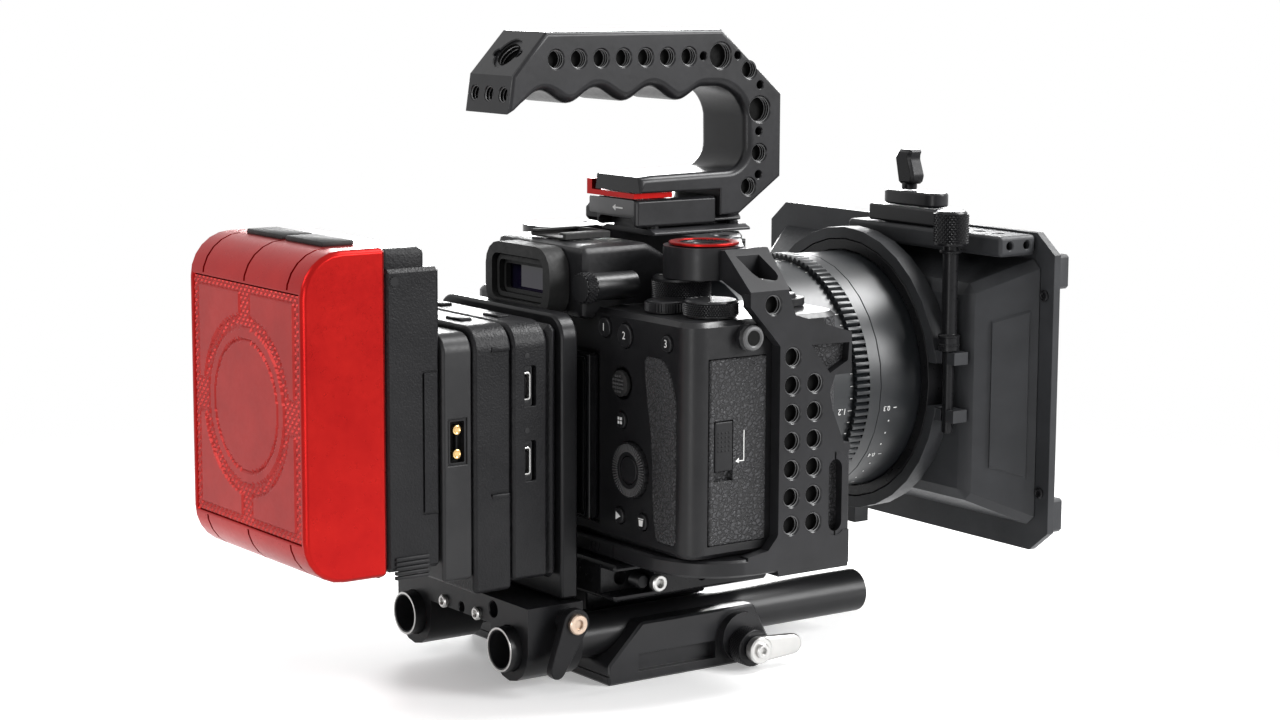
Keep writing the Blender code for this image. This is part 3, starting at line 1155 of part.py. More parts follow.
def build_matte_clamp():
    axis = (0, 0, LENS_AXIS_Z)
    tube("adapter_ring", ADAPTER_OUTER, FRONT_RADIUS + GAP, ADAPTER_REAR_Y,
         ADAPTER_REAR_Y + RING_CLAMP_LENGTH, axis,
         "Y", BLACK_PLASTIC, steps=LENS_STEPS)
    rear, front = ADAPTER_REAR_Y, ADAPTER_REAR_Y + RING_CLAMP_LENGTH
    ring = tube("matte_clamp_ring", RING_CLAMP_OUTER, RING_CLAMP_INNER, rear, front, axis, "Y", GREY_PLASTIC,
                steps=LENS_STEPS)
    foot_top = LENS_AXIS_Z - RING_CLAMP_INNER - RING_CLAMP_WALL / 4
    foot = block("ring_foot", (-RING_FOOT_WIDTH / 2, rear + GAP, foot_top - RING_CLAMP_WALL - RING_FOOT_DROP),
                 (RING_FOOT_WIDTH / 2, front - GAP, foot_top), collection=CUTTERS)
    lug_end = RING_CLAMP_OUTER + LUG_REACH
    joined = [foot]
    for side in (-1, 1):
        near = LENS_AXIS_Z + side * LUG_GAP / 2
        far = near + side * LUG_THICKNESS
        lug = block("ring_lug", (RING_CLAMP_INNER + 2 * GAP, rear + GAP, min(near, far)),
                    (lug_end, front - GAP, max(near, far)), collection=CUTTERS)
        joined.append(lug)
    split_half = LUG_GAP / 2 - GAP
    split = block("ring_split", (RING_CLAMP_INNER * 0.8, rear - 1, LENS_AXIS_Z - split_half),
                  (lug_end + 1, front + 1, LENS_AXIS_Z + split_half), collection=CUTTERS)
    hole = disc("lug_hole", THUMB_SCREW_RADIUS + GAP, LENS_AXIS_Z - LUG_GAP - LUG_THICKNESS,
                LENS_AXIS_Z + LUG_GAP + LUG_THICKNESS, (THUMB_X, THUMB_Y, 0), "Z", collection=CUTTERS,
                steps=SMALL_STEPS)
    join(ring, *joined)
    cut(ring, split, hole)
    seat = LENS_AXIS_Z + LUG_GAP / 2 + LUG_THICKNESS + GAP
    knob_low = THUMB_KNOB_TOP_Z - THUMB_KNOB_HEIGHT
    tip = LENS_AXIS_Z - LUG_GAP / 2 - LUG_THICKNESS - 4
    profile = (
        (0, THUMB_KNOB_TOP_Z),
        (THUMB_KNOB_RADIUS - 0.8, THUMB_KNOB_TOP_Z),
        (THUMB_KNOB_RADIUS, THUMB_KNOB_TOP_Z - 0.8),
        (THUMB_KNOB_RADIUS, knob_low),
        (THUMB_SHAFT_RADIUS, knob_low),
        (THUMB_SHAFT_RADIUS, seat + 6),
        (THUMB_SHAFT_RADIUS + 1, seat + 5),
        (THUMB_SHAFT_RADIUS + 1, seat),
        (THUMB_SCREW_RADIUS, seat),
        (THUMB_SCREW_RADIUS, tip),
        (0, tip),
    )
    shifted = [(radius, height - seat) for radius, height in profile]
    turned("clamp_thumb_screw", shifted, (THUMB_X, THUMB_Y, seat), "Z", BLACK_METAL, steps=SMALL_STEPS + 4)


def build_shade():
    spare = SHADE_DEPTH / 5
    grown = [front + (front - back) / 5 for back, front in zip(SHADE_REAR_HALF, SHADE_FRONT_HALF)]
    shade_box = taper("matte_shade", SHADE_REAR_HALF, grown, SHADE_REAR_Y, SHADE_FRONT_Y + spare,
                      SHADE_CENTRE_Z,
                      GREY_PLASTIC)
    wall = SHADE_WALL
    hollow = taper("shade_hollow", (SHADE_REAR_HALF[0] - wall, SHADE_REAR_HALF[1] - wall),
                   (SHADE_FRONT_HALF[0] - wall, SHADE_FRONT_HALF[1] - wall), SHADE_REAR_Y + wall,
                   SHADE_FRONT_Y + 1,
                   SHADE_CENTRE_Z, collection=CUTTERS)
    add_bevel(shade_box, 3.0)
    opening = disc("shade_opening", SHADE_HOLE_RADIUS, SHADE_REAR_Y - 1, SHADE_REAR_Y + 2 * wall,
                   (0, 0, LENS_AXIS_Z), "Y", collection=CUTTERS, steps=LENS_STEPS)
    face = block("shade_face", (-grown[0] - 2, SHADE_FRONT_Y, SHADE_CENTRE_Z - grown[1] - 2),
                 (grown[0] + 2, SHADE_FRONT_Y + 2 * spare, SHADE_CENTRE_Z + grown[1] + 2), collection=CUTTERS)
    cut(shade_box, hollow, opening, face)
    half_x, half_z = FLANGE_HALF
    chamfer = FLANGE_CHAMFER
    outline = []
    for sign_x, sign_z, first in ((1, -1, True), (1, 1, False), (-1, 1, True), (-1, -1, False)):
        along = (sign_x * (half_x - chamfer), SHADE_CENTRE_Z + sign_z * half_z)
        down = (sign_x * half_x, SHADE_CENTRE_Z + sign_z * (half_z - chamfer * 0.8))
        outline += [along, down] if first else [down, along]
    inside_x = SHADE_FRONT_HALF[0] - SHADE_WALL
    inside_z = SHADE_FRONT_HALF[1] - SHADE_WALL
    window = rounded_box((-inside_x, SHADE_CENTRE_Z - inside_z), (inside_x, SHADE_CENTRE_Z + inside_z), 4.0)
    flange = prism("matte_flange", [outline, window], "Y", FLANGE_REAR_Y, FLANGE_REAR_Y + FLANGE_THICKNESS,
                   GREY_PLASTIC)
    tabs = []
    for sign_x in (-1, 1):
        for sign_z in (-1, 1):
            edge_x = sign_x * (half_x - GAP)
            deep_x = sign_x * (half_x - 5)
            edge_z = SHADE_CENTRE_Z + sign_z * (half_z - chamfer * 0.8)
            deep_z = edge_z - sign_z * TAB_SIZE
            tab = block("corner_tab", (min(edge_x, deep_x), FLANGE_REAR_Y + 1, min(edge_z, deep_z)),
                        (max(edge_x, deep_x), FLANGE_REAR_Y + FLANGE_THICKNESS + TAB_THICKNESS,
                         max(edge_z, deep_z)),
                        collection=CUTTERS, bevel=1.0)
            tabs.append(tab)
    join(flange, *tabs)


def build_flag_bracket():
    front = FLANGE_REAR_Y - GAP
    rear = front - BRACKET_DEPTH
    under = BRACKET_TOP_Z - BRACKET_HEIGHT
    outline = [(BRACKET_LEFT_X, under + BRACKET_HEIGHT * 0.4), (BRACKET_LEFT_X + 6, under)]
    outline += [(BRACKET_RIGHT_X, under), (BRACKET_RIGHT_X, BRACKET_TOP_Z), (BRACKET_LEFT_X, BRACKET_TOP_Z)]
    prism("flag_bracket", [outline], "Y", rear, front, GREY_PLASTIC, bevel=1.0)
    slide_low = BRACKET_TOP_Z + GAP
    slide_top = slide_low + SLIDE_HEIGHT
    middle_y = (rear + front) / 2
    block("flag_slide", (SLIDE_LEFT_X, middle_y - SLIDE_DEPTH / 2, slide_low),
          (SLIDE_RIGHT_X, middle_y + SLIDE_DEPTH / 2, slide_top), BLACK_METAL, bevel=0.6)
    base_low = slide_top + GAP
    base_top = base_low + LOCK_BASE_HEIGHT
    outline = rounded_box((LOCK_BASE_LEFT_X, middle_y - LOCK_BASE_DEPTH / 2),
                          (LOCK_BASE_RIGHT_X, middle_y + LOCK_BASE_DEPTH / 2), LOCK_BASE_DEPTH / 2 - 0.1)
    prism("flag_lock_base", [outline], "Z", base_low, base_top, BLACK_METAL, bevel=0.6)
    low = base_top + GAP
    pivot = (FLAG_LEVER_X, middle_y, low)
    half = FLAG_LEVER_WIDTH / 2
    reach = FLAG_LEVER_LENGTH / 2
    top = low + FLAG_LEVER_HEIGHT
    outline = [
        (FLAG_LEVER_X - reach * 0.6, low + 2),
        (FLAG_LEVER_X + reach * 0.8, low + 2),
        (FLAG_LEVER_X + reach, low + 5),
        (FLAG_LEVER_X + reach - FLAG_LEVER_LEAN, top - 3),
        (FLAG_LEVER_X + reach - FLAG_LEVER_LEAN / 2, top),
        (FLAG_LEVER_X - reach * 0.6, top),
        (FLAG_LEVER_X - reach, top - 3),
    ]
    lever = prism("flag_lock_lever", [outline], "Y", middle_y - half, middle_y + half, BLACK_METAL,
                  origin=pivot,
                  bevel=1.0)
    stem = disc("lever_stem", half - 0.4, low, low + 4, (FLAG_LEVER_X, middle_y, 0), "Z", collection=CUTTERS,
                steps=SMALL_STEPS)
    join(lever, stem)


def handle_outline():
    """The handle from the side: a C open to the rear, with finger grooves under its top bar."""
    neck_inner = HANDLE_FRONT_Y - HANDLE_NECK
    foot_rear = SHOE_CLAMP_REAR_Y + SHOE_CLAMP_LENGTH + GAP
    points = [
        (HANDLE_REAR_Y, HANDLE_UNDERSIDE_Z - HANDLE_FINGER_DEPTH - HANDLE_HEEL),
        (HANDLE_REAR_Y + 2, HANDLE_TOP_Z - HANDLE_REAR_SLOPE + 1),
        (HANDLE_REAR_Y + HANDLE_REAR_SLOPE, HANDLE_TOP_Z),
        (HANDLE_FRONT_Y - HANDLE_FRONT_SLOPE - 6, HANDLE_TOP_Z),
        (HANDLE_FRONT_Y, HANDLE_TOP_Z - HANDLE_FRONT_SLOPE - 2.5),
        (HANDLE_FRONT_Y, HANDLE_ARM_TOP_Z + 1),
        (HANDLE_FRONT_Y - 18, RAIL_TOP_Z + GAP),
        (foot_rear, RAIL_TOP_Z + GAP),
        (foot_rear, HANDLE_ARM_BOTTOM_Z),
        (HANDLE_ARM_REAR_Y, HANDLE_ARM_BOTTOM_Z),
        (HANDLE_ARM_REAR_Y, HANDLE_ARM_TOP_Z + 3.0),
        (HANDLE_ARM_REAR_Y + 6, HANDLE_ARM_TOP_Z + 3.5),
    ]
    points += arc((neck_inner - 8, HANDLE_ARM_TOP_Z + 12), 8, -90, 0, 5)
    curve = HANDLE_NECK_CURVE
    points += arc((neck_inner - curve, HANDLE_UNDERSIDE_Z - curve), curve, 0, 90, 6)
    grip_front = neck_inner - curve - 4.4
    grip_rear = HANDLE_REAR_Y + 4
    steps = 24
    for step in range(steps + 1):
        y = grip_front - (grip_front - grip_rear) * step / steps
        wave = (1 - math.cos(2 * math.pi * (grip_front - y) / HANDLE_FINGER_PITCH)) / 2
        bow = HANDLE_BOW * math.sin(math.pi * step / steps)
        points.append((y, HANDLE_UNDERSIDE_Z + bow - HANDLE_FINGER_DEPTH * wave))
    points.reverse()
    return points


def handle_sockets():
    """Places of the threaded sockets on each side of the handle: y, z and radius."""
    small, big = HANDLE_SOCKET_RADIUS, HANDLE_BIG_SOCKET_RADIUS
    neck_y = HANDLE_FRONT_Y - HANDLE_NECK * 0.64
    corner_y = neck_y - big
    places = [(HANDLE_SOCKET_REAR_Y + k * HANDLE_SOCKET_PITCH, HANDLE_SOCKET_Z,
               small) for k in range(HANDLE_SOCKETS)]
    places += [
        (HANDLE_BIG_SOCKET_Y, HANDLE_SOCKET_Z, big),
        (corner_y, HANDLE_SOCKET_Z - 5, small),
        (neck_y, HANDLE_NECK_SOCKET_Z, big),
        (neck_y, HANDLE_NECK_SOCKET_Z - 15, small),
        (corner_y, HANDLE_ARM_TOP_Z - 2, small),
    ]
    return places


def build_handle():
    half = HANDLE_HALF_WIDTH
    handle = prism("top_handle", [handle_outline()], "X", -half, half, BLACK_METAL, bevel=1.4)
    cutters = []
    for side in (-1, 1):
        inner = side * (half - HANDLE_SOCKET_DEPTH)
        outer = side * (half + 1)
        for y, z, radius in handle_sockets():
            cutters.append(disc("handle_socket", radius, min(inner, outer), max(inner, outer), (0, y, z), "X",
                                collection=CUTTERS, steps=SOCKET_STEPS))
    cut(handle, *cutters)


def mirrored(half):
    """A whole outline from its right half, listed upwards."""
    return [*half, *[(-x, z) for x, z in reversed(half)]]


def dovetail(grow):
    """The right half of the rail's dovetail, or of its groove when it is grown by the clearance."""
    neck, head = RAIL_NECK_HALF + grow, RAIL_HALF_WIDTH + grow
    neck_top = RAIL_BOTTOM_Z + RAIL_NECK_HEIGHT - grow
    top = RAIL_TOP_Z + grow
    return [
        (neck, neck_top),
        (head, neck_top + RAIL_FLARE),
        (head, top - RAIL_CHAMFER),
        (head - RAIL_CHAMFER, top),
    ]


def build_handle_clamp():
    foot_top = RAIL_BOTTOM_Z + RAIL_NECK_HEIGHT - GAP
    foot = [
        (RAIL_FOOT_HALF, RAIL_BOTTOM_Z),
        (RAIL_FOOT_HALF, RAIL_BOTTOM_Z + 0.8),
        (RAIL_FOOT_HALF - RAIL_FOOT_SLOPE, foot_top),
        (RAIL_NECK_HALF, foot_top),
    ]
    prism("accessory_rail", [mirrored(foot + dovetail(0.0))], "Y", RAIL_REAR_Y, RAIL_FRONT_Y, BLACK_METAL,
          bevel=0.3)
    front = SHOE_CLAMP_REAR_Y + SHOE_CLAMP_LENGTH
    clamp_top = HANDLE_ARM_BOTTOM_Z - RELEASE_THICKNESS - 2 * GAP
    clamp = block("handle_clamp", (-SHOE_CLAMP_HALF_WIDTH, SHOE_CLAMP_REAR_Y, SHOE_CLAMP_BOTTOM_Z),
                  (SHOE_CLAMP_HALF_WIDTH, front, clamp_top), BLACK_METAL, bevel=0.8)
    mouth = (RAIL_NECK_HALF + GAP, SHOE_CLAMP_BOTTOM_Z - 2)
    groove = prism("clamp_groove", [mirrored([mouth, *dovetail(GAP)])], "Y", SHOE_CLAMP_REAR_Y - 2, front + 2,
                   collection=CUTTERS)
    cut(clamp, groove)
    plate_low = clamp_top + GAP
    plate_top = plate_low + RELEASE_THICKNESS
    rear = SHOE_CLAMP_REAR_Y
    pivot = (SHOE_CLAMP_HALF_WIDTH - 5, rear + 12, plate_low)
    hub = disc("clamp_hub", RELEASE_HUB_RADIUS, clamp_top - 1, HANDLE_ARM_BOTTOM_Z - GAP,
               (pivot[0], pivot[1], 0), "Z",
               collection=CUTTERS, steps=SMALL_STEPS)
    lock_block = block("clamp_lock", (-SHOE_CLAMP_HALF_WIDTH - CLAMP_LOCK_REACH, rear + 1,
                                      SHOE_CLAMP_BOTTOM_Z + GAP),
                       (-SHOE_CLAMP_HALF_WIDTH + 1, rear + CLAMP_LOCK_LENGTH,
                        SHOE_CLAMP_BOTTOM_Z + CLAMP_LOCK_HEIGHT),
                       collection=CUTTERS, bevel=1.5)
    join(clamp, hub, lock_block)
    outline = (
        (-RELEASE_REACH, rear),
        (SHOE_CLAMP_HALF_WIDTH - 1.6, rear),
        (SHOE_CLAMP_HALF_WIDTH - 1.6, rear + 16),
        (SHOE_CLAMP_HALF_WIDTH - 9, rear + 16),
        (-RELEASE_REACH + RELEASE_TAB_WIDTH, rear + 6),
        (-RELEASE_REACH, rear + 5),
    )
    hole = circle((pivot[0], pivot[1]), RELEASE_HUB_RADIUS + GAP, SMALL_STEPS)
    lever = prism("release_lever", [outline, hole], "Z", plate_low, plate_top, RED_PLASTIC, origin=pivot)
    tab = block("release_tab", (-RELEASE_REACH, rear, plate_low),
                (-HANDLE_HALF_WIDTH - 3 * GAP, rear + 4, plate_low + RELEASE_TAB_HEIGHT), collection=CUTTERS)
    join(lever, tab)


def build_bracket_plate():
    front = BRACKET_PLATE_FRONT_Y
    rear = front - BRACKET_PLATE_THICKNESS
    half = BRACKET_PLATE_HALF_WIDTH
    low = ROD_CLAMP_TOP_Z + GAP
    outline = [(-half, low), (half, low)]
    outline += arc((half - MODULE_CORNER, BRACKET_PLATE_TOP_Z - MODULE_CORNER), MODULE_CORNER, 0, 90, 6)
    outline += arc((-half + MODULE_CORNER, BRACKET_PLATE_TOP_Z - MODULE_CORNER), MODULE_CORNER, 90, 180, 6)
    prism("bracket_plate", [outline], "Y", rear, front, SATIN_METAL, bevel=0.8)
    half = SPACER_HALF_WIDTH
    block("spacer_plate", (-half, SPACER_FRONT_Y - SPACER_THICKNESS, MODULE_BOTTOM_Z + 1),
          (half, SPACER_FRONT_Y, MODULE_TOP_Z - 1.5), BLACK_PLASTIC, bevel=2.0)


def module_outline(half, bottom, top, corner):
    points = [(-half, bottom), (half, bottom)]
    points += arc((half - corner, top - corner), corner, 0, 90, 6)
    points += arc((-half + corner, top - corner), corner, 90, 180, 6)
    return points


def build_modules():
    half = MODULE_HALF_WIDTH
    outline = [module_outline(half, MODULE_BOTTOM_Z + 2.5, MODULE_TOP_Z, MODULE_CORNER)]
    rear = MODULE_FRONT_Y - MODULE_FRONT_LENGTH
    front_module = prism("module_front", outline, "Y", rear, MODULE_FRONT_Y, BLACK_PLASTIC, bevel=1.0)
    port_y = (rear + MODULE_FRONT_Y) / 2
    ports = []
    for z in PORT_HEIGHTS:
        ports.append(block("port_room", (half - PORT_DEPTH, port_y - PORT_WIDTH / 2, z - PORT_LENGTH / 2),
                           (half + 1, port_y + PORT_WIDTH / 2, z + PORT_LENGTH / 2), collection=CUTTERS))
    cut(front_module, *ports)
    outline = [module_outline(half, MODULE_BOTTOM_Z, MODULE_TOP_Z, MODULE_CORNER)]
    prism("module_rear", outline, "Y", MODULE_MIDDLE_Y - MODULE_REAR_LENGTH, MODULE_MIDDLE_Y, BLACK_PLASTIC,
          bevel=1.0)


def wedge_outline(grow, top):
    """The battery's wedge seen along the lens, narrower at its lower end."""
    slope = (WEDGE_TOP_HALF - WEDGE_BOTTOM_HALF) / WEDGE_HEIGHT
    low = WEDGE_BOTTOM_Z - grow
    high_half = WEDGE_BOTTOM_HALF + slope * (top - WEDGE_BOTTOM_Z)
    low_half = WEDGE_BOTTOM_HALF - slope * grow
    return ((-low_half - grow, low), (low_half + grow, low), (high_half + grow, top),
            (-high_half - grow, top))


def build_plate():
    plate = prism("battery_plate", [module_outline(PLATE_HALF_WIDTH, PLATE_BOTTOM_Z, PLATE_TOP_Z, 6.0)], "Y",
                  PLATE_REAR_Y, PLATE_FRONT_Y, BLACK_PLASTIC, bevel=0.8)
    groove = prism("wedge_groove", [wedge_outline(GAP, PLATE_TOP_Z + 2)], "Y", PLATE_REAR_Y - 2,
                   PLATE_REAR_Y + WEDGE_DEPTH + GAP, collection=CUTTERS)
    socket_y = (PLATE_REAR_Y + PLATE_FRONT_Y) / 2
    room = block("socket_room", (PLATE_HALF_WIDTH - SOCKET_DEPTH, socket_y - SOCKET_WIDTH / 2,
                                 SOCKET_Z - SOCKET_HEIGHT / 2),
                 (PLATE_HALF_WIDTH + 1, socket_y + SOCKET_WIDTH / 2, SOCKET_Z + SOCKET_HEIGHT / 2),
                 collection=CUTTERS)
    button_room = disc("latch_room", LATCH_BUTTON_RADIUS + GAP, -PLATE_HALF_WIDTH - 1,
                       -PLATE_HALF_WIDTH + LATCH_BUTTON_LENGTH, (0, socket_y, SOCKET_Z), "X",
                       collection=CUTTERS,
                       steps=SMALL_STEPS)
    cut(plate, groove, room, button_room)
    start = -PLATE_HALF_WIDTH - LATCH_BUTTON_TRAVEL - GAP
    disc("battery_release", LATCH_BUTTON_RADIUS, 0, LATCH_BUTTON_LENGTH, (start, socket_y, SOCKET_Z), "X",
         BLACK_PLASTIC, steps=SMALL_STEPS)


def build_battery():
    half = BATTERY_HALF_WIDTH
    low, top = BATTERY_BOTTOM_Z, BATTERY_TOP_Z
    corner = BATTERY_CORNER
    outline = [(BATTERY_SHELL_FRONT_Y, low), (BATTERY_SHELL_FRONT_Y, top)]
    outline += arc((BATTERY_REAR_Y + corner, top - corner), corner, 90, 180, 6)
    outline += arc((BATTERY_REAR_Y + corner, low + corner), corner, 180, 270, 6)
    outline.reverse()
    shell = prism("battery_shell", [outline], "X", -half, half, RED_PLASTIC, bevel=1.6, segments=2)
    inset = PANEL_RISE
    panel_room = block("panel_room", (-half + PANEL_INSET, BATTERY_REAR_Y - 1, low + inset),
                       (half - PANEL_INSET, BATTERY_REAR_Y + PANEL_THICKNESS, top - inset),
                       collection=CUTTERS)
    cut(shell, panel_room)
    fit = PANEL_INSET + GAP
    block("battery_panel", (-half + fit, BATTERY_REAR_Y + GAP, low + inset + GAP),
          (half - fit, BATTERY_REAR_Y + PANEL_THICKNESS - GAP, top - inset - GAP), DARK_RED)
    base_half = half - BATTERY_BASE_INSET
    base = block("battery_base", (-base_half, BATTERY_JOINT_Y, low + BATTERY_BASE_RISE),
                 (base_half, BATTERY_FRONT_Y, top - BATTERY_BASE_DROP), BLACK_PLASTIC, bevel=1.2)
    wedge = prism("battery_wedge", [wedge_outline(0.0, WEDGE_BOTTOM_Z + WEDGE_HEIGHT)], "Y",
                  BATTERY_FRONT_Y - 1,
                  PLATE_REAR_Y + WEDGE_DEPTH, collection=CUTTERS)
    cap_low = top - BATTERY_BASE_DROP - 2
    cap = block("base_cap", (-BASE_CAP_HALF, BATTERY_JOINT_Y + GAP, cap_low),
                (BASE_CAP_HALF, BATTERY_JOINT_Y + BASE_CAP_LENGTH, cap_low + 2 + BASE_CAP_HEIGHT),
                collection=CUTTERS,
                bevel=2.0, segments=2)
    tube_z = low + BATTERY_BASE_RISE - BASE_TUBE_RADIUS / 2
    foot_tube = disc("base_tube", BASE_TUBE_RADIUS, BASE_TUBE_LEFT_X, BASE_TUBE_RIGHT_X,
                     (0, BATTERY_JOINT_Y + BASE_TUBE_RADIUS + GAP, tube_z), "X", collection=CUTTERS,
                     steps=SMALL_STEPS)
    join(base, wedge, cap, foot_tube)


def build_rod_clamp():
    rear = ROD_CLAMP_REAR_Y
    front = rear + ROD_CLAMP_LENGTH
    half = ROD_X + ROD_CLAMP_EAR
    ears = [arc((side * ROD_X, ROD_AXIS_Z), ROD_CLAMP_EAR, 180, 360, 8) for side in (-1, 1)]
    inner = ROD_X - ROD_CLAMP_EAR
    outline = [*ears[0], (-inner, ROD_CLAMP_WEB_Z), (inner, ROD_CLAMP_WEB_Z), *ears[1]]
    outline += [(half, ROD_CLAMP_TOP_Z), (-half, ROD_CLAMP_TOP_Z)]
    clamp = prism("rod_clamp", [outline], "Y", rear, front, SATIN_METAL)
    bores = [disc("clamp_bore", ROD_RADIUS + GAP, rear - 1, front + 1, (side * ROD_X, 0, ROD_AXIS_Z), "Y",
                  collection=CUTTERS) for side in (-1, 1)]
    cut(clamp, *bores)
    lever_start = half + LEVER_STANDOFF + GAP
    lever_end = lever_start + LEVER_THICKNESS
    pivot = (lever_start, LEVER_PIVOT_Y, LEVER_PIVOT_Z)
    tip_y = LEVER_PIVOT_Y - LEVER_REACH * math.sin(LEVER_LEAN)
    tip_z = LEVER_PIVOT_Z - LEVER_REACH * math.cos(LEVER_LEAN)
    lean = math.degrees(LEVER_LEAN)
    outline = arc((LEVER_PIVOT_Y, LEVER_PIVOT_Z), LEVER_HUB_RADIUS, -lean, 180 - lean, 9)
    outline += arc((tip_y, tip_z), LEVER_TIP_RADIUS, 180 - lean, 360 - lean, 6)
    hole = circle((LEVER_PIVOT_Y, LEVER_PIVOT_Z), LEVER_HOLE_RADIUS, SMALL_STEPS)
    prism("rod_clamp_lever", [outline, hole], "X", lever_start, lever_end, SATIN_METAL, origin=pivot,
          bevel=0.5)
    pin = disc("lever_pin", LEVER_HOLE_RADIUS - GAP, half - 0.5, lever_end,
               (0, LEVER_PIVOT_Y, LEVER_PIVOT_Z), "X",
               collection=CUTTERS, steps=SMALL_STEPS)
    standoff = disc("lever_standoff", LEVER_HUB_RADIUS - 1, half - 1, half + LEVER_STANDOFF,
                    (0, LEVER_PIVOT_Y, LEVER_PIVOT_Z), "X", collection=CUTTERS, steps=SMALL_STEPS)
    join(clamp, pin, standoff)


build_rods()
build_base()
build_base_lock()
build_riser()
build_cage()
build_camera_body()
build_viewfinder()
build_top_controls()
build_rear_controls()
build_card_door()
build_lens()
build_matte_clamp()
build_shade()
build_flag_bracket()
build_handle()
build_handle_clamp()
build_bracket_plate()
build_modules()
build_plate()
build_battery()
build_rod_clamp()
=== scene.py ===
"""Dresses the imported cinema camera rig: fine edges, procedural materials, small parts, light and camera."""
import json
import math

import bmesh
import bpy
from mathutils import Matrix, Vector

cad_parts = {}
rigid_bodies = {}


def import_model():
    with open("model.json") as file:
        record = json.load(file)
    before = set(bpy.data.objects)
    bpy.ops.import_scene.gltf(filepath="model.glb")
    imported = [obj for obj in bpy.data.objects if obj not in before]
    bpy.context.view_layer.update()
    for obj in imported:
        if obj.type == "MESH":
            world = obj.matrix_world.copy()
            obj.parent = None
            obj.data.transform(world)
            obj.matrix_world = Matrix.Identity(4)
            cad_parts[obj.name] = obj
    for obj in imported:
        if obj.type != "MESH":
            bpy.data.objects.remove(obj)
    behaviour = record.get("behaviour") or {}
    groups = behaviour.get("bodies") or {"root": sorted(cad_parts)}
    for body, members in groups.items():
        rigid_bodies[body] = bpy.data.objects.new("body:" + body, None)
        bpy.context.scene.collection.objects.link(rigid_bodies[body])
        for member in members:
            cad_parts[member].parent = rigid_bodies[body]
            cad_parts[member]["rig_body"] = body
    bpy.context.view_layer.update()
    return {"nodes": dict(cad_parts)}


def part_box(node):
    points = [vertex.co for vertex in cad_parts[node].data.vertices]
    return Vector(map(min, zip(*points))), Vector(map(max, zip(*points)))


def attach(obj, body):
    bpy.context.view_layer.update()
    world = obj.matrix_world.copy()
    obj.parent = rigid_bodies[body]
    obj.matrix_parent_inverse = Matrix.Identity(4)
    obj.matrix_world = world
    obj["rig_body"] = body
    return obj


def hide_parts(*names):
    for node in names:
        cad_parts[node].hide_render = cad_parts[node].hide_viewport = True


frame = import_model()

MM = 0.001
NODES = frame["nodes"]
WELD = 0.000002
SHARP = math.radians(32.0)
LENS_Z = 89.8  # height of the lens axis, in millimetres


# Materials

NOISE_LOW, NOISE_HIGH = 0.3, 0.7
COLOUR_PATCHES, GLOSS_PATCHES = 60.0, 700.0


def fill(node, values):
    """Sets a shader node's inputs by name."""
    for name, value in values.items():
        node.inputs[name].default_value = value


def add_node(owner, kind, values=None, **settings):
    """Adds a shader node to a material or to the world."""
    node = owner.node_tree.nodes.new(kind)
    for key, value in settings.items():
        setattr(node, key, value)
    fill(node, values or {})
    return node


def wire(owner, source, target):
    owner.node_tree.links.new(source, target)


def shader_of(material):
    return material.node_tree.nodes["Principled BSDF"]


def new_material(name, colour, roughness, metallic=0.0):
    """A material with a plain shader, before its textures are wired in."""
    material = bpy.data.materials.new(name)
    material.use_nodes = True
    fill(shader_of(material), {"Base Color": (*colour, 1.0), "Roughness": roughness, "Metallic": metallic})
    return material


def coordinates(material, stretch):
    """The piece's own coordinates, stretched along its axes."""
    place = add_node(material, "ShaderNodeTexCoord")
    mapping = add_node(material, "ShaderNodeMapping", {"Scale": stretch})
    wire(material, place.outputs["Object"], mapping.inputs["Vector"])
    return mapping.outputs["Vector"]


def noise(material, scale, detail=3.0, rough=0.6, stretch=(1.0, 1.0, 1.0)):
    """A noise texture; its scale counts the patches along a metre."""
    texture = add_node(material, "ShaderNodeTexNoise", {"Scale": scale, "Detail": detail, "Roughness": rough})
    wire(material, coordinates(material, stretch), texture.inputs["Vector"])
    return texture.outputs["Fac"]


def spread(material, value, low, high):
    """Maps a texture onto a range of values."""
    node = add_node(material, "ShaderNodeMapRange",
                    {"From Min": NOISE_LOW, "From Max": NOISE_HIGH, "To Min": low, "To Max": high})
    wire(material, value, node.inputs["Value"])
    return node.outputs["Result"]


def tint(material, value, dark, light):
    """Runs the base colour between two colours."""
    ramp = add_node(material, "ShaderNodeValToRGB")
    for stop, place, colour in zip(ramp.color_ramp.elements, (NOISE_LOW, NOISE_HIGH), (dark, light)):
        stop.position, stop.color = place, (*colour, 1.0)
    wire(material, value, ramp.inputs["Fac"])
    wire(material, ramp.outputs["Color"], shader_of(material).inputs["Base Color"])


def bump(material, height, strength, distance, before=None):
    """Raises the surface by a texture, over an earlier bump if there is one; the distance is in millimetres."""
    node = add_node(material, "ShaderNodeBump", {"Strength": strength, "Distance": distance * MM})
    wire(material, height, node.inputs["Height"])
    if before is not None:
        wire(material, before, node.inputs["Normal"])
    wire(material, node.outputs["Normal"], shader_of(material).inputs["Normal"])
    return node.outputs["Normal"]


def surface(name, dark, light, rough, metallic, specular, grain, stretch=(1.0, 1.0, 1.0)):
    """A finish with slow colour change, patchy roughness and a grain given by its size in mm, strength and height."""
    material = new_material(name, light, rough[0], metallic)
    fill(shader_of(material), {"Specular IOR Level": specular})
    tint(material, noise(material, COLOUR_PATCHES), dark, light)
    wire(material, spread(material, noise(material, GLOSS_PATCHES, stretch=stretch), *rough),
         shader_of(material).inputs["Roughness"])
    size, strength, height = grain
    bump(material, noise(material, 1000.0 / size, 2.0, 0.5, stretch), strength, height)
    return material


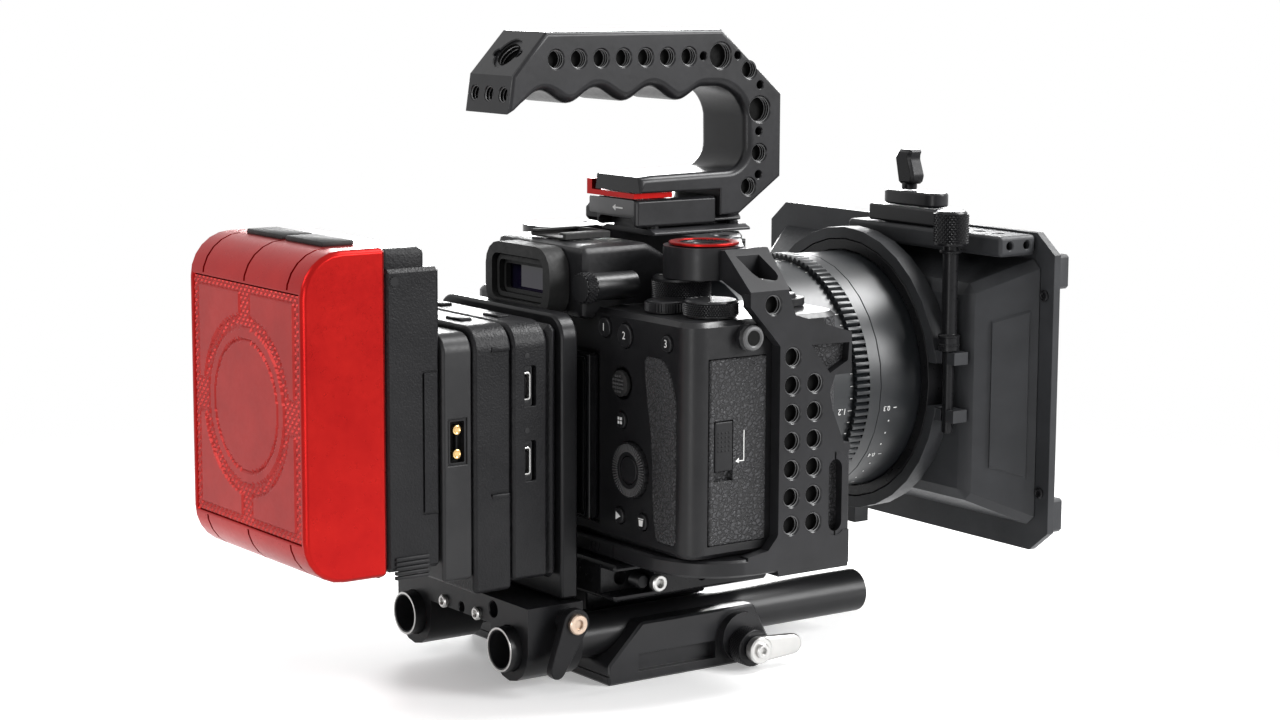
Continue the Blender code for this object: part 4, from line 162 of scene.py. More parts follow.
def leather(name, dark, light):
    """Leather-grained rubber: flat pebbles of about 1.4 mm with creases between them, the creases painted darker as
    shade.
    """
    material = new_material(name, light, 0.5)
    fill(shader_of(material), {"Specular IOR Level": 0.3})
    warp = add_node(material, "ShaderNodeVectorMath", operation="MULTIPLY_ADD")
    warp.inputs[1].default_value = (0.0026, 0.0026, 0.0026)
    wire(material, noise(material, 420.0, 2.0), warp.inputs[0])
    wire(material, coordinates(material, (1.0, 0.8, 1.0)), warp.inputs[2])
    cells = add_node(material, "ShaderNodeTexVoronoi", {"Scale": 700.0}, feature="DISTANCE_TO_EDGE")
    wire(material, warp.outputs["Vector"], cells.inputs["Vector"])
    pebble_rise_and_shade = add_node(material, "ShaderNodeMapRange", {"From Max": 0.26}, interpolation_type="SMOOTHSTEP")
    wire(material, cells.outputs["Distance"], pebble_rise_and_shade.inputs["Value"])
    height = pebble_rise_and_shade.outputs["Result"]
    # Painted shade: the colour runs dark in the creases and light on the pebble tops.
    tint(material, height, dark, light)
    wire(material, spread(material, height, 0.62, 0.36), shader_of(material).inputs["Roughness"])
    fine = bump(material, noise(material, 2600.0, 2.0), 0.2, 0.04)
    bump(material, height, 0.9, 0.34, fine)
    return material


BLACK = surface("black_anodised", (0.011, 0.011, 0.012), (0.018, 0.018, 0.02), (0.28, 0.36), 0.05, 0.26,
                (0.22, 0.2, 0.015))
DEEP = surface("deep_black_anodised", (0.006, 0.006, 0.007), (0.011, 0.011, 0.012), (0.26, 0.36),
               0.1, 0.2, (0.22, 0.15, 0.015))
RODS = surface("rod_anodised", (0.009, 0.009, 0.01), (0.013, 0.013, 0.014), (0.34, 0.38), 0.05, 0.3,
               (0.3, 0.05, 0.006), stretch=(1.0, 0.2, 1.0))
GREY = surface("grey_anodised", (0.007, 0.007, 0.008), (0.012, 0.012, 0.013), (0.28, 0.38), 0.1, 0.16,
               (0.25, 0.2, 0.02))
SILVER = surface("silver", (0.46, 0.46, 0.45), (0.55, 0.54, 0.53), (0.3, 0.34), 0.9, 0.5,
                 (0.8, 0.02, 0.002))
# A pale satin grey: the own finish of the strap ring and clamp face, and painted glint on the black thread crests and
# wheel ridges.
SATIN_AND_GLINT = surface("satin_grey_and_painted_glint", (0.09, 0.09, 0.092), (0.12, 0.12, 0.122), (0.34, 0.42), 0.3, 0.4,
                (0.3, 0.15, 0.015))
GOLD = surface("gold", (0.7, 0.45, 0.18), (0.85, 0.6, 0.28), (0.18, 0.3), 1.0, 0.5, (0.4, 0.1, 0.02))
BRONZE = surface("bronze", (0.42, 0.32, 0.25), (0.56, 0.44, 0.35), (0.25, 0.38), 0.9, 0.5,
                 (0.4, 0.15, 0.02))
HOUSING = surface("camera_housing", (0.008, 0.008, 0.009), (0.014, 0.014, 0.015), (0.28, 0.4), 0.0,
                  0.28, (0.26, 0.5, 0.04))
CONTROL = surface("control_black", (0.007, 0.007, 0.008), (0.013, 0.013, 0.014), (0.4, 0.5), 0.0, 0.22,
                  (0.3, 0.2, 0.02))
GRAINED = surface("grained_black", (0.006, 0.006, 0.007), (0.011, 0.011, 0.012), (0.34, 0.48), 0.0,
                  0.16, (0.7, 1.0, 0.14))
SMOOTH = surface("smooth_dark_grey", (0.014, 0.014, 0.015), (0.022, 0.022, 0.023), (0.34, 0.46), 0.0,
                 0.22, (0.3, 0.25, 0.02))
MATTE = surface("matte_box_plastic", (0.026, 0.027, 0.029), (0.036, 0.037, 0.04), (0.4, 0.52), 0.0,
                0.2, (0.35, 0.4, 0.03))
LENS = surface("lens_black", (0.008, 0.009, 0.011), (0.011, 0.013, 0.015), (0.36, 0.4), 0.05, 0.5,
               (3.0, 0.02, 0.004))
RUBBER = surface("soft_rubber", (0.01, 0.01, 0.01), (0.018, 0.018, 0.018), (0.55, 0.72), 0.0, 0.3,
                 (0.4, 0.35, 0.03))
RED = surface("red_shell", (0.33, 0.006, 0.006), (0.4, 0.01, 0.008), (0.27, 0.33), 0.85, 0.3,
              (0.25, 0.04, 0.004))
DARK_RED = surface("red_panel", (0.34, 0.017, 0.015), (0.43, 0.026, 0.022), (0.32, 0.42), 0.5, 0.3,
                   (0.4, 0.2, 0.02))
SCREEN = surface("screen_gloss", (0.004, 0.004, 0.005), (0.008, 0.008, 0.009), (0.14, 0.22), 0.0, 0.3,
                 (0.6, 0.05, 0.01))
COATED = surface("coated_glass", (0.004, 0.005, 0.014), (0.012, 0.006, 0.022), (0.02, 0.06), 0.0, 0.4,
                 (2.0, 0.02, 0.01))
PAINT = surface("white_paint", (0.74, 0.74, 0.73), (0.84, 0.84, 0.83), (0.5, 0.6), 0.0, 0.3,
                (0.3, 0.1, 0.01))
# Painted shade: a near-black, darker than any finish here, laid inside holes and sockets where shade falls.
HOLE_SHADE_BLACK = surface("painted_hole_shade", (0.002, 0.002, 0.002), (0.005, 0.005, 0.005), (0.5, 0.7), 0.0, 0.1,
                 (0.3, 0.2, 0.02))
# Leatherette whose darker colour is painted shade in the creases of its grain.
CREASE_SHADED_LEATHER = leather("leatherette_with_crease_shade", (0.018, 0.018, 0.019), (0.042, 0.042, 0.045))


# Shapes, drawn in millimetres

CORNER_STEPS = 5
THREAD_PITCH = 1.27
SIDES = {
    "right": ((1, 0, 0), (0, 0, 1)), "left": ((-1, 0, 0), (0, 0, 1)), "rear": ((0, -1, 0), (0, 0, 1)),
    "front": ((0, 1, 0), (0, 0, 1)), "top": ((0, 0, 1), (0, 1, 0)), "under": ((0, 0, -1), (0, 1, 0)),
}


def facing(place, side):
    """A frame at a point whose Z axis looks out of a side and whose Y axis runs up it."""
    normal, up = (Vector(axis).normalized() for axis in (SIDES[side] if isinstance(side, str) else side))
    up = (up - normal * up.dot(normal)).normalized()
    matrix = Matrix((up.cross(normal), up, normal)).transposed().to_4x4()
    matrix.translation = Vector(place)
    return matrix


def at(shape, place, side="top"):
    """Lays a shape on a side at a point."""
    shape.transform(facing(place, side))
    return shape


def gather(shapes):
    """Several shapes as one."""
    whole = bmesh.new()
    for shape in shapes:
        mesh = bpy.data.meshes.new("shape")
        shape.to_mesh(mesh)
        shape.free()
        whole.from_mesh(mesh)
        bpy.data.meshes.remove(mesh)
    return whole


def turned(profile, steps, closed=False):
    """A profile of (radius, height) points turned about Z; a closed one ends where it starts."""
    shape = bmesh.new()
    rings = []
    for radius, height in profile:
        if radius:
            angles = [math.tau * k / steps for k in range(steps)]
            rings.append([shape.verts.new((radius * math.cos(a), radius * math.sin(a), height)) for a in angles])
        else:
            rings.append([shape.verts.new((0.0, 0.0, height))] * steps)
    pairs = list(zip(rings, rings[1:]))
    if closed:
        pairs.append((rings[-1], rings[0]))
    for lower, upper in pairs:
        for k in range(steps):
            turn = (k + 1) % steps
            corners = list(dict.fromkeys((lower[k], lower[turn], upper[turn], upper[k])))
            if len(corners) > 2:
                shape.faces.new(corners)
    return shape


def box(low, high, edge=0.0):
    """A box between two corners, its edges rounded by a width."""
    shape = bmesh.new()
    bmesh.ops.create_cube(shape, size=1.0)
    low, high = Vector(low), Vector(high)
    for vertex in shape.verts:
        vertex.co = Vector([c * s + m for c, s, m in zip(vertex.co, high - low, (low + high) / 2)])
    if edge:
        bmesh.ops.bevel(shape, geom=shape.edges[:], offset=edge, segments=2, affect="EDGES", profile=0.5)
    return shape


def slab(outline, low, high, edge=0.0):
    """An outline in XY drawn out along Z, with its upper edge broken."""
    shape = bmesh.new()
    face = shape.faces.new([shape.verts.new((x, y, low)) for x, y in outline])
    drawn = bmesh.ops.extrude_face_region(shape, geom=[face])
    top = [item for item in drawn["geom"] if isinstance(item, bmesh.types.BMVert)]
    bmesh.ops.translate(shape, verts=top, vec=(0, 0, high - low))
    if edge:
        edges = [item for item in shape.edges if all(vertex in top for vertex in item.verts)]
        bmesh.ops.bevel(shape, geom=edges, offset=edge, segments=2, affect="EDGES", profile=0.5)
    return shape


def rounded(width, height, radius):
    """A rectangle with round corners about the origin."""
    points = []
    for quarter, (side_x, side_y) in enumerate(((1, 1), (-1, 1), (-1, -1), (1, -1))):
        for step in range(CORNER_STEPS + 1):
            angle = math.radians(90 * quarter + 90 * step / CORNER_STEPS)
            points.append((side_x * (width / 2 - radius) + radius * math.cos(angle),
                           side_y * (height / 2 - radius) + radius * math.sin(angle)))
    return points


def hoop(width, height, radius, wall, low, high, edge):
    """A rounded frame with a rounded hole, its upper edges broken."""
    outer = rounded(width, height, radius)
    inner = rounded(width - 2 * wall, height - 2 * wall, max(radius - wall, 0.2))
    shape = bmesh.new()
    loops = []
    for outline, level in ((outer, low), (outer, high - edge), (shrunk(outer, edge), high),
                           (shrunk(inner, -edge), high), (inner, high - edge), (inner, low)):
        loops.append([shape.verts.new((x, y, level)) for x, y in outline])
    count = len(outer)
    for lower, upper in zip(loops, loops[1:] + loops[:1]):
        for k in range(count):
            turn = (k + 1) % count
            shape.faces.new((lower[k], lower[turn], upper[turn], upper[k]))
    return shape


def shrunk(outline, step):
    """Points moved towards the origin by about one step."""
    return [(x - math.copysign(step, x), y - math.copysign(step, y)) for x, y in outline]


def knurled(radius, low, high, teeth, rows, depth):
    """A capped drum with a diamond knurl: pyramids whose tips lie on the radius."""
    shape = bmesh.new()
    count, levels = 2 * teeth, 2 * rows
    grid = []
    for level in range(levels + 1):
        ring = []
        for k in range(count):
            reach = radius - depth * ((k + level) % 2)
            angle = math.tau * k / count
            ring.append(shape.verts.new((reach * math.cos(angle), reach * math.sin(angle),
                                         low + (high - low) * level / levels)))
        grid.append(ring)
    for level in range(levels):
        for k in range(count):
            turn = (k + 1) % count
            a, b, c, d = grid[level][k], grid[level][turn], grid[level + 1][turn], grid[level + 1][k]
            if (k + level) % 2:
                shape.faces.new((a, b, c))
                shape.faces.new((a, c, d))
            else:
                shape.faces.new((a, b, d))
                shape.faces.new((b, c, d))
    shape.faces.new(grid[0][::-1])
    shape.faces.new(grid[-1])
    return shape


def drill(radius, depth, place, side):
    """A drilled hole with a broken rim, to be cut out."""
    rim = radius + 0.35
    return at(turned(((0, -depth), (radius, -depth), (radius, -0.35), (rim, 0.02), (rim, 1), (0, 1)), 24), place, side)


def thread(radius, depth, place, side):
    """The crests of a thread inside a drilled hole."""
    root, crest = radius + 0.08, radius - 0.34
    crests, level = [], -0.45
    while level > 0.9 - depth:
        crests.append(turned(((root, level), (crest, level - 0.25), (root, level - 0.5)), 24, True))
        level -= THREAD_PITCH
    return at(gather(crests), place, side)


def hole_shade_lining(radius, depth, place, side):
    """A near-black lining and bottom for a threaded hole: painted shade inside the hole."""
    outer, inner = radius + 0.05, radius - 0.06
    return at(turned(((0, 0.1 - depth), (outer, 0.1 - depth), (outer, -0.4), (inner, -0.5), (inner, 0.35 - depth),
                      (0, 0.35 - depth)), 24), place, side)


def screw_head(radius, height, socket):
    """A cap screw's head with a round socket."""
    return turned(((0, 0), (radius, 0), (radius, height - 0.4), (radius - 0.4, height), (socket + 0.25, height),
                   (socket, height - 0.2), (socket, 0.35 * height), (0, 0.3 * height)), 30)


def lettering(text, size):
    """Plain figures as a thin flat shape about the origin."""
    curve = bpy.data.curves.new("figures", "FONT")
    curve.body, curve.size, curve.align_x, curve.align_y = text, size, "CENTER", "CENTER"
    curve.extrude = 0.03
    curve.resolution_u = 3
    holder = bpy.data.objects.new("figures", curve)
    mesh = bpy.data.meshes.new_from_object(holder)
    shape = bmesh.new()
    shape.from_mesh(mesh)
    bpy.data.objects.remove(holder)
    bpy.data.meshes.remove(mesh)
    bpy.data.curves.remove(curve)
    return shape


def wrapped(shape, radius, angle, along):
    """A flat shape laid round the lens: its X axis runs back along the lens, its Y axis round it."""
    for vertex in shape.verts:
        x, y, z = vertex.co
        turn = math.radians(angle) - y / radius
        vertex.co = ((radius + z) * math.cos(turn), along - x, LENS_Z + (radius + z) * math.sin(turn))
    return shape


def put(name, shapes, material, node, smooth=35.0):
    """Makes a piece of one shape or several and lets it ride with the body of a node."""
    shape = gather(shapes) if isinstance(shapes, (list, tuple)) else shapes
    bmesh.ops.recalc_face_normals(shape, faces=shape.faces[:])
    shape.transform(Matrix.Scale(MM, 4))
    mesh = bpy.data.meshes.new(name)
    shape.to_mesh(mesh)
    shape.free()
    mesh.materials.append(material)
    mesh.shade_smooth()
    mesh.set_sharp_from_angle(angle=math.radians(smooth))
    piece = bpy.data.objects.new(name, mesh)
    bpy.context.scene.collection.objects.link(piece)
    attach(piece, NODES[node]["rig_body"])
    return piece


def span(node):
    """A node's lowest and highest corners in millimetres."""
    low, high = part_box(node)
    return Vector(low) / MM, Vector(high) / MM


def rear_face(node):
    """The middle of the face a node turns to the rear."""
    low, high = span(node)
    return Vector(((low.x + high.x) / 2, low.y, (low.z + high.z) / 2))


# Skins: each solid again, with fine rounded edges

def skin(node, material, width):
    """A copy of a node's mesh in a finish, its edges rounded by a width."""
    source = NODES[node]
    mesh = source.data.copy()
    shape = bmesh.new()
    shape.from_mesh(mesh)
    bmesh.ops.remove_doubles(shape, verts=shape.verts, dist=WELD)
    bmesh.ops.dissolve_limit(shape, angle_limit=math.radians(0.6), verts=shape.verts, edges=shape.edges)
    shape.to_mesh(mesh)
    shape.free()
    mesh.materials.clear()
    mesh.materials.append(material)
    mesh.shade_smooth()
    mesh.set_sharp_from_angle(angle=SHARP)
    piece = bpy.data.objects.new(node + "_skin", mesh)
    bpy.context.scene.collection.objects.link(piece)
    if width:
        bevel = piece.modifiers.new("edges", "BEVEL")
        bevel.width = width * MM
        bevel.segments = 2
        bevel.limit_method = "ANGLE"
        bevel.angle_limit = SHARP
        bevel.harden_normals = True
    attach(piece, source["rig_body"])
    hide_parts(node)
    return piece


def carve(node, shapes):
    """Cuts shapes out of a skin and keeps the result as its mesh."""
    piece = SKINS[node]
    tool_shape = gather(shapes)
    bmesh.ops.recalc_face_normals(tool_shape, faces=tool_shape.faces[:])
    tool_shape.transform(Matrix.Scale(MM, 4))
    tool_mesh = bpy.data.meshes.new("tool")
    tool_shape.to_mesh(tool_mesh)
    tool_shape.free()
    tool = bpy.data.objects.new("tool", tool_mesh)
    bpy.context.scene.collection.objects.link(tool)
    cutting = piece.modifiers.new("carve", "BOOLEAN")
    cutting.operation = "DIFFERENCE"
    cutting.solver = "EXACT"
    cutting.use_self = True
    cutting.object = tool
    bpy.context.view_layer.update()
    mesh = bpy.data.meshes.new_from_object(piece.evaluated_get(bpy.context.evaluated_depsgraph_get()))
    piece.modifiers.clear()
    piece.data = mesh
    bpy.data.objects.remove(tool)
    bpy.data.meshes.remove(tool_mesh)
    if "custom_normal" in mesh.attributes:
        mesh.attributes.remove(mesh.attributes["custom_normal"])
    clean = bmesh.new()
    clean.from_mesh(mesh)
    bmesh.ops.remove_doubles(clean, verts=clean.verts, dist=WELD)
    bmesh.ops.dissolve_degenerate(clean, edges=clean.edges, dist=WELD)
    bmesh.ops.holes_fill(clean, edges=[edge for edge in clean.edges if edge.is_boundary], sides=6)
    clean.to_mesh(mesh)
    clean.free()
    mesh.set_sharp_from_angle(angle=SHARP)
    weigh = piece.modifiers.new("weigh", "WEIGHTED_NORMAL")
    weigh.keep_sharp = True


FINISHES = (
    (RODS, 0.3, "rod_left rod_right"), (SILVER, 0.4, "rod_lock_lever"), (HOUSING, 0.4, "camera_body"),
    (BLACK, 0.3, "accessory_rail"), (BLACK, 0.4, "flag_slide flag_lock_base"), (BLACK, 0.5, "handle_clamp"),
    (BLACK, 0.6, "baseplate cage"), (DEEP, 0.3, "clamp_thumb_screw"), (DEEP, 0.4, "riser adapter_ring"),
    (DEEP, 0.5, "rod_lock_knob quick_release_clamp"), (DEEP, 0.6, "flag_lock_lever"),
    (GREY, 0.4, "rod_clamp rod_clamp_lever"), (GREY, 0.6, "bracket_plate"),
    (RED, 0.2, "boss_ring"), (RED, 0.3, "release_lever"), (RED, 0.8, "battery_shell"),
    (CONTROL, 0.15, "diopter_dial control_wheel"), (CONTROL, 0.4, "shutter_button wheel_button"),
    (CONTROL, 0.3, "power_ring c1_button af_on_button ael_button fn_button play_button trash_button card_latch"),
    (CONTROL, 0.3, "battery_release"), (RUBBER, 0.15, "hot_shoe"), (RUBBER, 0.2, "joystick"), (RUBBER, 0.6, "eyecup"),
    (COATED, 0.0, "lens_front_glass"), (COATED, 0.2, "eyepiece_glass"), (SCREEN, 0.4, "screen"),
    (CREASE_SHADED_LEATHER, 0.4, "card_door"), (LENS, 0.12, "focus_ring"), (LENS, 0.2, "iris_ring"),
    (LENS, 0.4, "lens_barrel lens_front_barrel"), (MATTE, 0.4, "matte_clamp_ring"),
    (MATTE, 0.5, "matte_shade flag_bracket"), (MATTE, 0.6, "matte_flange"), (GRAINED, 0.4, "spacer_plate"),
    (GRAINED, 0.6, "module_front module_rear battery_base"), (SMOOTH, 0.6, "battery_plate"),
)
SKINS = {node: skin(node, material, width) for material, width, names in FINISHES for node in names.split()}


def stand_in(node, shapes, material, smooth):
    """A piece that stands for a node in place of a skin."""
    piece = put(node + "_piece", shapes, material, node, smooth)
    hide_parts(node)
    SKINS[node] = piece


def ribbed(radius, low, high, teeth, depth):
    """A drum with straight ribs along its side."""
    outline = []
    for k in range(4 * teeth):
        reach = radius - (depth if k % 4 in (2, 3) else 0.0)
        angle = math.tau * k / (4 * teeth)
        outline.append((reach * math.cos(angle), reach * math.sin(angle)))
    return slab(outline, low, high)


# Top handle

def drawn_across(outline, half):
    """An outline of (y, z, fillet) points drawn across X, each edge rounded by its point's own fillet."""
    shape = bmesh.new()
    count, rings = len(outline), []
    for side, turns in ((-1, (0, 18, 36, 54, 72, 90)), (1, (90, 72, 54, 36, 18, 0))):
        for turn in turns:
            ring = []
            for k, (y, z, fillet) in enumerate(outline):
                before, after = Vector(outline[k - 1][:2]), Vector(outline[(k + 1) % count][:2])
                first, second = (Vector((way.y, -way.x)).normalized()
                                 for way in (Vector((y, z)) - before, after - Vector((y, z))))
                inward = (first + second) / (1 + first.dot(second)) * fillet * (1 - math.sin(math.radians(turn)))
                x = side * (half - fillet * (1 - math.cos(math.radians(turn))))
                ring.append(shape.verts.new((x, y + inward.x, z + inward.y)))
            rings.append(ring)
    for lower, upper in zip(rings, rings[1:]):
        for k in range(count):
            turn = (k + 1) % count
            shape.faces.new((lower[k], lower[turn], upper[turn], upper[k]))
    shape.faces.new(rings[0])
    shape.faces.new(rings[-1])
    return shape


HANDLE_HALF = 13.6
SOCKET_DEPTH = 4.2
BOTH_SIDES = ((1, "right"), (-1, "left"))
outline = [(-51.1, 187.3, 1.2), (-49.3, 199.7, 1.3), (-36.3, 213.7, 1.5), (35.8, 213.7, 1.5), (61.8, 191.2, 1.3),
           (61.8, 162.5, 1.3), (43.8, 150.3, 1.0), (35.3, 150.3, 0.7), (35.3, 159.2, 0.7), (1.5, 159.2, 0.7),
           (1.5, 164.5, 2.2), (7.5, 165.0, 2.4)]
outline += [(38.6 + 8 * math.sin(math.radians(t)), 173.5 - 8 * math.cos(math.radians(t)), 2.4 + t / 130)
            for t in range(0, 91, 9)]
outline += [(33.6 + 13 * math.cos(math.radians(t)), 181.4 + 13 * math.sin(math.radians(t)), 3.1)
            for t in range(9, 91, 9)]
for step in range(91):
    y = 29.2 - 75.0 * step / 90
    wave = (1 - math.cos(math.tau * (29.2 - y) / 22.4)) / 2
    outline.append((y, 194.4 + 0.6 * math.sin(math.pi * step / 90) - 4.6 * wave,
                    min(3.2, 1.4 + 0.12 * (90 - step))))
outline.append((-48.6, 188.6, 1.2))
stand_in("top_handle", [drawn_across(outline, HANDLE_HALF)], BLACK, 32.0)

HANDLE_HOLES = [(-32.6 + 9.03 * k, 204.8, 3.2) for k in range(7)] + [
    (35.0, 204.8, 4.6), (47.5, 199.8, 3.2), (52.1, 186.0, 4.6), (52.1, 171.0, 3.2), (47.5, 159.5, 3.2)]
HANDLE_PINS = [(27.6, 204.8), (42.4, 204.8), (52.2, 194.5), (51.8, 178.5), (51.8, 163.5)]
REAR_END = ((0.0, -0.987, 0.16), (0, 0, 1))
SLOPE = ((0.0, -0.73, 0.68), (0, 0, 1))
slope_middle = Vector((0.0, -42.8, 206.7))
side_sockets = [(r, SOCKET_DEPTH, (s * HANDLE_HALF, y, z), side) for s, side in BOTH_SIDES for y, z, r in HANDLE_HOLES]
rear_sockets = [(2.6, SOCKET_DEPTH, (x, -50.3, 193.6), REAR_END) for x in (-8.6, 0.0, 8.6)]
slope_socket = (4.4, SOCKET_DEPTH, slope_middle, SLOPE)
carve("top_handle", [
    *[drill(1.4, 4.0, (s * HANDLE_HALF, y, z), side) for s, side in BOTH_SIDES for y, z in HANDLE_PINS],
    *[drill(*socket) for socket in side_sockets + rear_sockets],
    drill(6.0, 0.9, slope_middle, SLOPE), drill(*slope_socket),
    *[drill(1.5, 1.4, slope_middle + Vector((x, 0, 0)), SLOPE) for x in (-6.6, 6.6)],
])
# Painted glint: the thread crests in the handle's black sockets are pale grey so they look lit.
thread_glints = [thread(*socket) for socket in side_sockets + rear_sockets]
thread_glints.append(thread(4.4, 3.3, slope_middle - Vector(SLOPE[0]) * 0.9, SLOPE))
put("handle_thread_glints", thread_glints, SATIN_AND_GLINT, "top_handle")
# Painted shade: near-black linings inside the handle's sockets.
put("handle_hole_shade", [hole_shade_lining(*socket) for socket in side_sockets + [slope_socket] + rear_sockets], HOLE_SHADE_BLACK,
    "top_handle")
put("clamp_face", at(slab(rounded(26.4, 5.6, 0.8), -0.2, 0.04, 0.03), (-2.7, 1.0, 153.8), "rear"), SATIN_AND_GLINT,
    "handle_clamp")
ARROW = ((-3.0, 0.0), (-1.2, 1.1), (-1.2, 0.25), (3.0, 0.25), (3.0, -0.25), (-1.2, -0.25), (-1.2, -1.1))
put("clamp_arrow", at(slab(ARROW, -0.1, 0.1), (1.0, 1.0, 153.6), "rear"), PAINT, "handle_clamp")


# Cage

CAGE_RIGHT, CAGE_LEFT, CAGE_ROOF = 82.8, -55.8, 144.5
HOLE_PITCH = 9.19
LOWER_SLOT = (CAGE_RIGHT, 31.15, 64.0)
RIGHT_WALL = (CAGE_RIGHT, 0.0, 0.0)
BOSS = (46.0, 4.0, 144.85)
right_sockets = [(3.25, 3.6, (CAGE_RIGHT, y, z), "right") for y, z in [(4.4, 128.7)] + [
    (12.7, 111.2 - HOLE_PITCH * k) for k in range(7)] + [(21.89, 111.2 - HOLE_PITCH * k) for k in range(1, 7)]]
left_sockets = [(2.9, 3.4, (CAGE_LEFT, y, 112.0 - HOLE_PITCH * k), "left") for y in (14.0, 23.2) for k in range(7)]
roof_sockets = [(2.6, 3.4, (x, y, CAGE_ROOF), "top") for x, y in (
    (-38.0, 16.0), (-38.0, 28.0), (-28.0, 22.0), (24.0, 14.0), (24.0, 28.0), (33.0, 28.0))]
window = ((20.2, 114.6), (36.0, 114.3), (35.5, 108.4), (28.0, 104.8), (22.8, 111.1))
tick = ((-0.2, -1.6), (0.25, -1.6), (1.2, 1.6), (0.75, 1.6))
carve("cage", [
    *[drill(*socket) for socket in left_sockets + right_sockets + roof_sockets],
    at(slab(window, -3.2, 1.0), RIGHT_WALL, "right"),
    at(slab(rounded(4.6, 60.0, 2.3), -3.0, 1.0), (CAGE_LEFT, 31.5, 84.0), "left"),
    box((37.8, -27.5, 41.0), (38.3, -26.0, 47.5)),
    *[at(slab(tick, -0.5, 1.0), (25.0 + 2.2 * k, -26.5, 44.0), "rear") for k in range(3)],
    at(slab(rounded(8.3, 26.8, 4.1), -5.0, 1.0), LOWER_SLOT, "right"),
])
sockets = right_sockets + left_sockets + roof_sockets
# Painted glint: the thread crests in the cage's black sockets are pale grey so they look lit.
put("cage_thread_glints", [thread(*socket) for socket in sockets], SATIN_AND_GLINT, "cage")
# Painted shade: near-black linings inside the cage's sockets.
put("cage_hole_shade", [hole_shade_lining(*socket) for socket in sockets], HOLE_SHADE_BLACK, "cage")
window_lining = ((20.4, 114.4), (35.8, 114.1), (35.3, 108.5), (28.0, 105.0), (23.0, 111.0))
put("window_floor", at(slab(window_lining, -3.5, -2.9), RIGHT_WALL, "right"), CREASE_SHADED_LEATHER, "cage")
put("slot_floor", at(slab(rounded(9.4, 27.6, 4.4), -4.4, -3.9), LOWER_SLOT, "right"), CREASE_SHADED_LEATHER, "cage")
slot_corner = ((37.0, 80.0), (37.0, 49.5), (35.6, 49.5), (35.6, 76.5), (33.0, 77.6), (28.0, 77.9), (27.0, 80.0))
put("slot_rim", [at(hoop(11.7, 30.2, 5.7, 2.6, -4.4, -0.3, 0.45), LOWER_SLOT, "right"),
                 at(slab(slot_corner, -4.3, -0.35, 0.3), RIGHT_WALL, "right")], BLACK, "cage")
put("boss_disc", [
    at(turned(((0, -0.6), (8.4, -0.6), (8.4, 0.45), (7.9, 0.7), (6.9, 0.7), (6.6, 0.4), (4.2, 0.4), (4.0, 0.1),
               (3.4, -0.2), (3.2, -2.0), (0, -2.0)), 48), BOSS),
    *[at(box((6.95, -0.22, 0.6), (7.85, 0.22, 0.95), 0.1), BOSS,
         ((0, 0, 1), (math.sin(math.tau * k / 36), math.cos(math.tau * k / 36), 0))) for k in range(36)]],
    GREY, "cage")
put("rail_stops", [at(screw_head(2.0, 1.2, 1.0), (x, y, 146.7)) for x in (-9.8, 9.8) for y in (9.5, 43.5)],
    GREY, "accessory_rail")


# Camera

for face in SKINS["camera_body"].data.polygons:
    x, y, z = (c / MM for c in face.center)
    if x > 33.0 and y > 18.6 and abs(face.normal.z) < 0.1 and 49.0 < z < 122.5:
        face.material_index = 1
SKINS["camera_body"].data.materials.append(CREASE_SHADED_LEATHER)
THUMB_REST = [(61.6, 51.5), (69.4, 51.5), (70.8, 53.0), (70.8, 97.0), (70.0, 101.0), (67.6, 107.0), (65.2, 110.0),
              (62.6, 111.2), (55.4, 111.2), (54.0, 109.6), (54.4, 104.0), (55.4, 97.0), (57.6, 86.0), (58.4, 76.0),
              (58.6, 66.0), (59.6, 57.0), (60.4, 52.8)]
BACK = (0.0, -25.0, 0.0)
CAMERA_LEFT = -51.0
carve("camera_body", [
    *[at(hoop(width, height, 2.0, 0.35, -0.45, 1.0, 0.1), (CAMERA_LEFT, y, z), "left")
      for width, height, y, z in ((15.0, 60.0, -9.0, 84.0), (11.0, 28.0, 4.6, 100.0), (11.0, 28.0, 4.6, 68.0))],
    at(slab(shrunk(THUMB_REST, -0.25), -0.35, 1.0), BACK, "rear"),
    *[box((68.0, y, 70.0), (77.0, y + 3.0, 96.0)) for y in (-12.4, -4.6)],
])
put("thumb_pad", at(slab(THUMB_REST, -0.5, 0.7, 0.5), BACK, "rear"), CREASE_SHADED_LEATHER, "camera_body")
STRAP_LUG = (82.0, -3.0, 118.5)
put("strap_ring", at(turned(((2.3, -0.8), (2.5, 0.1), (3.0, 0.45), (3.7, 0.35), (4.1, -0.2), (4.0, -0.8)), 40, True),
                     STRAP_LUG, "right"), SATIN_AND_GLINT, "camera_body")
# Painted shade: a near-black disc in the strap ring where its hole is.
put("strap_hole_shade", at(turned(((0, -0.2), (2.5, -0.2), (2.5, 0.05), (0, 0.05)), 28), STRAP_LUG, "right"), HOLE_SHADE_BLACK,
    "camera_body")
put("eyecup_frames", [
    at(hoop(30.6, 14.8, 3.4, 1.5, -2.0, 0.0, 0.4), (0.0, -37.6, 131.8), "rear"),
    at(hoop(27.4, 11.8, 2.6, 1.4, -2.0, 0.0, 0.3), (0.0, -35.8, 131.8), "rear")], RUBBER, "eyecup")
low, high = span("screen")
width, height = high.x - low.x, high.z - low.z
put("screen_glass", at(slab(rounded(width - 5.0, height - 5.0, 1.4), -0.1, 0.15, 0.1), rear_face("screen"), "rear"),
    SCREEN, "screen")
put("screen_edge", at(hoop(width - 2.4, height - 2.4, 1.4, 0.5, -0.1, 0.1, 0.04), rear_face("screen"), "rear"), GREY,
    "screen")
put("shoe_contacts", [
    at(turned(((0, -0.1), (0.75, -0.1), (0.75, 0.1), (0.55, 0.2), (0, 0.22)), 20), (x, y, 145.5))
    for x, y in ((0, -17.5), (-4, -13), (-1.3, -13), (1.3, -13), (4, -13))], GOLD, "hot_shoe")

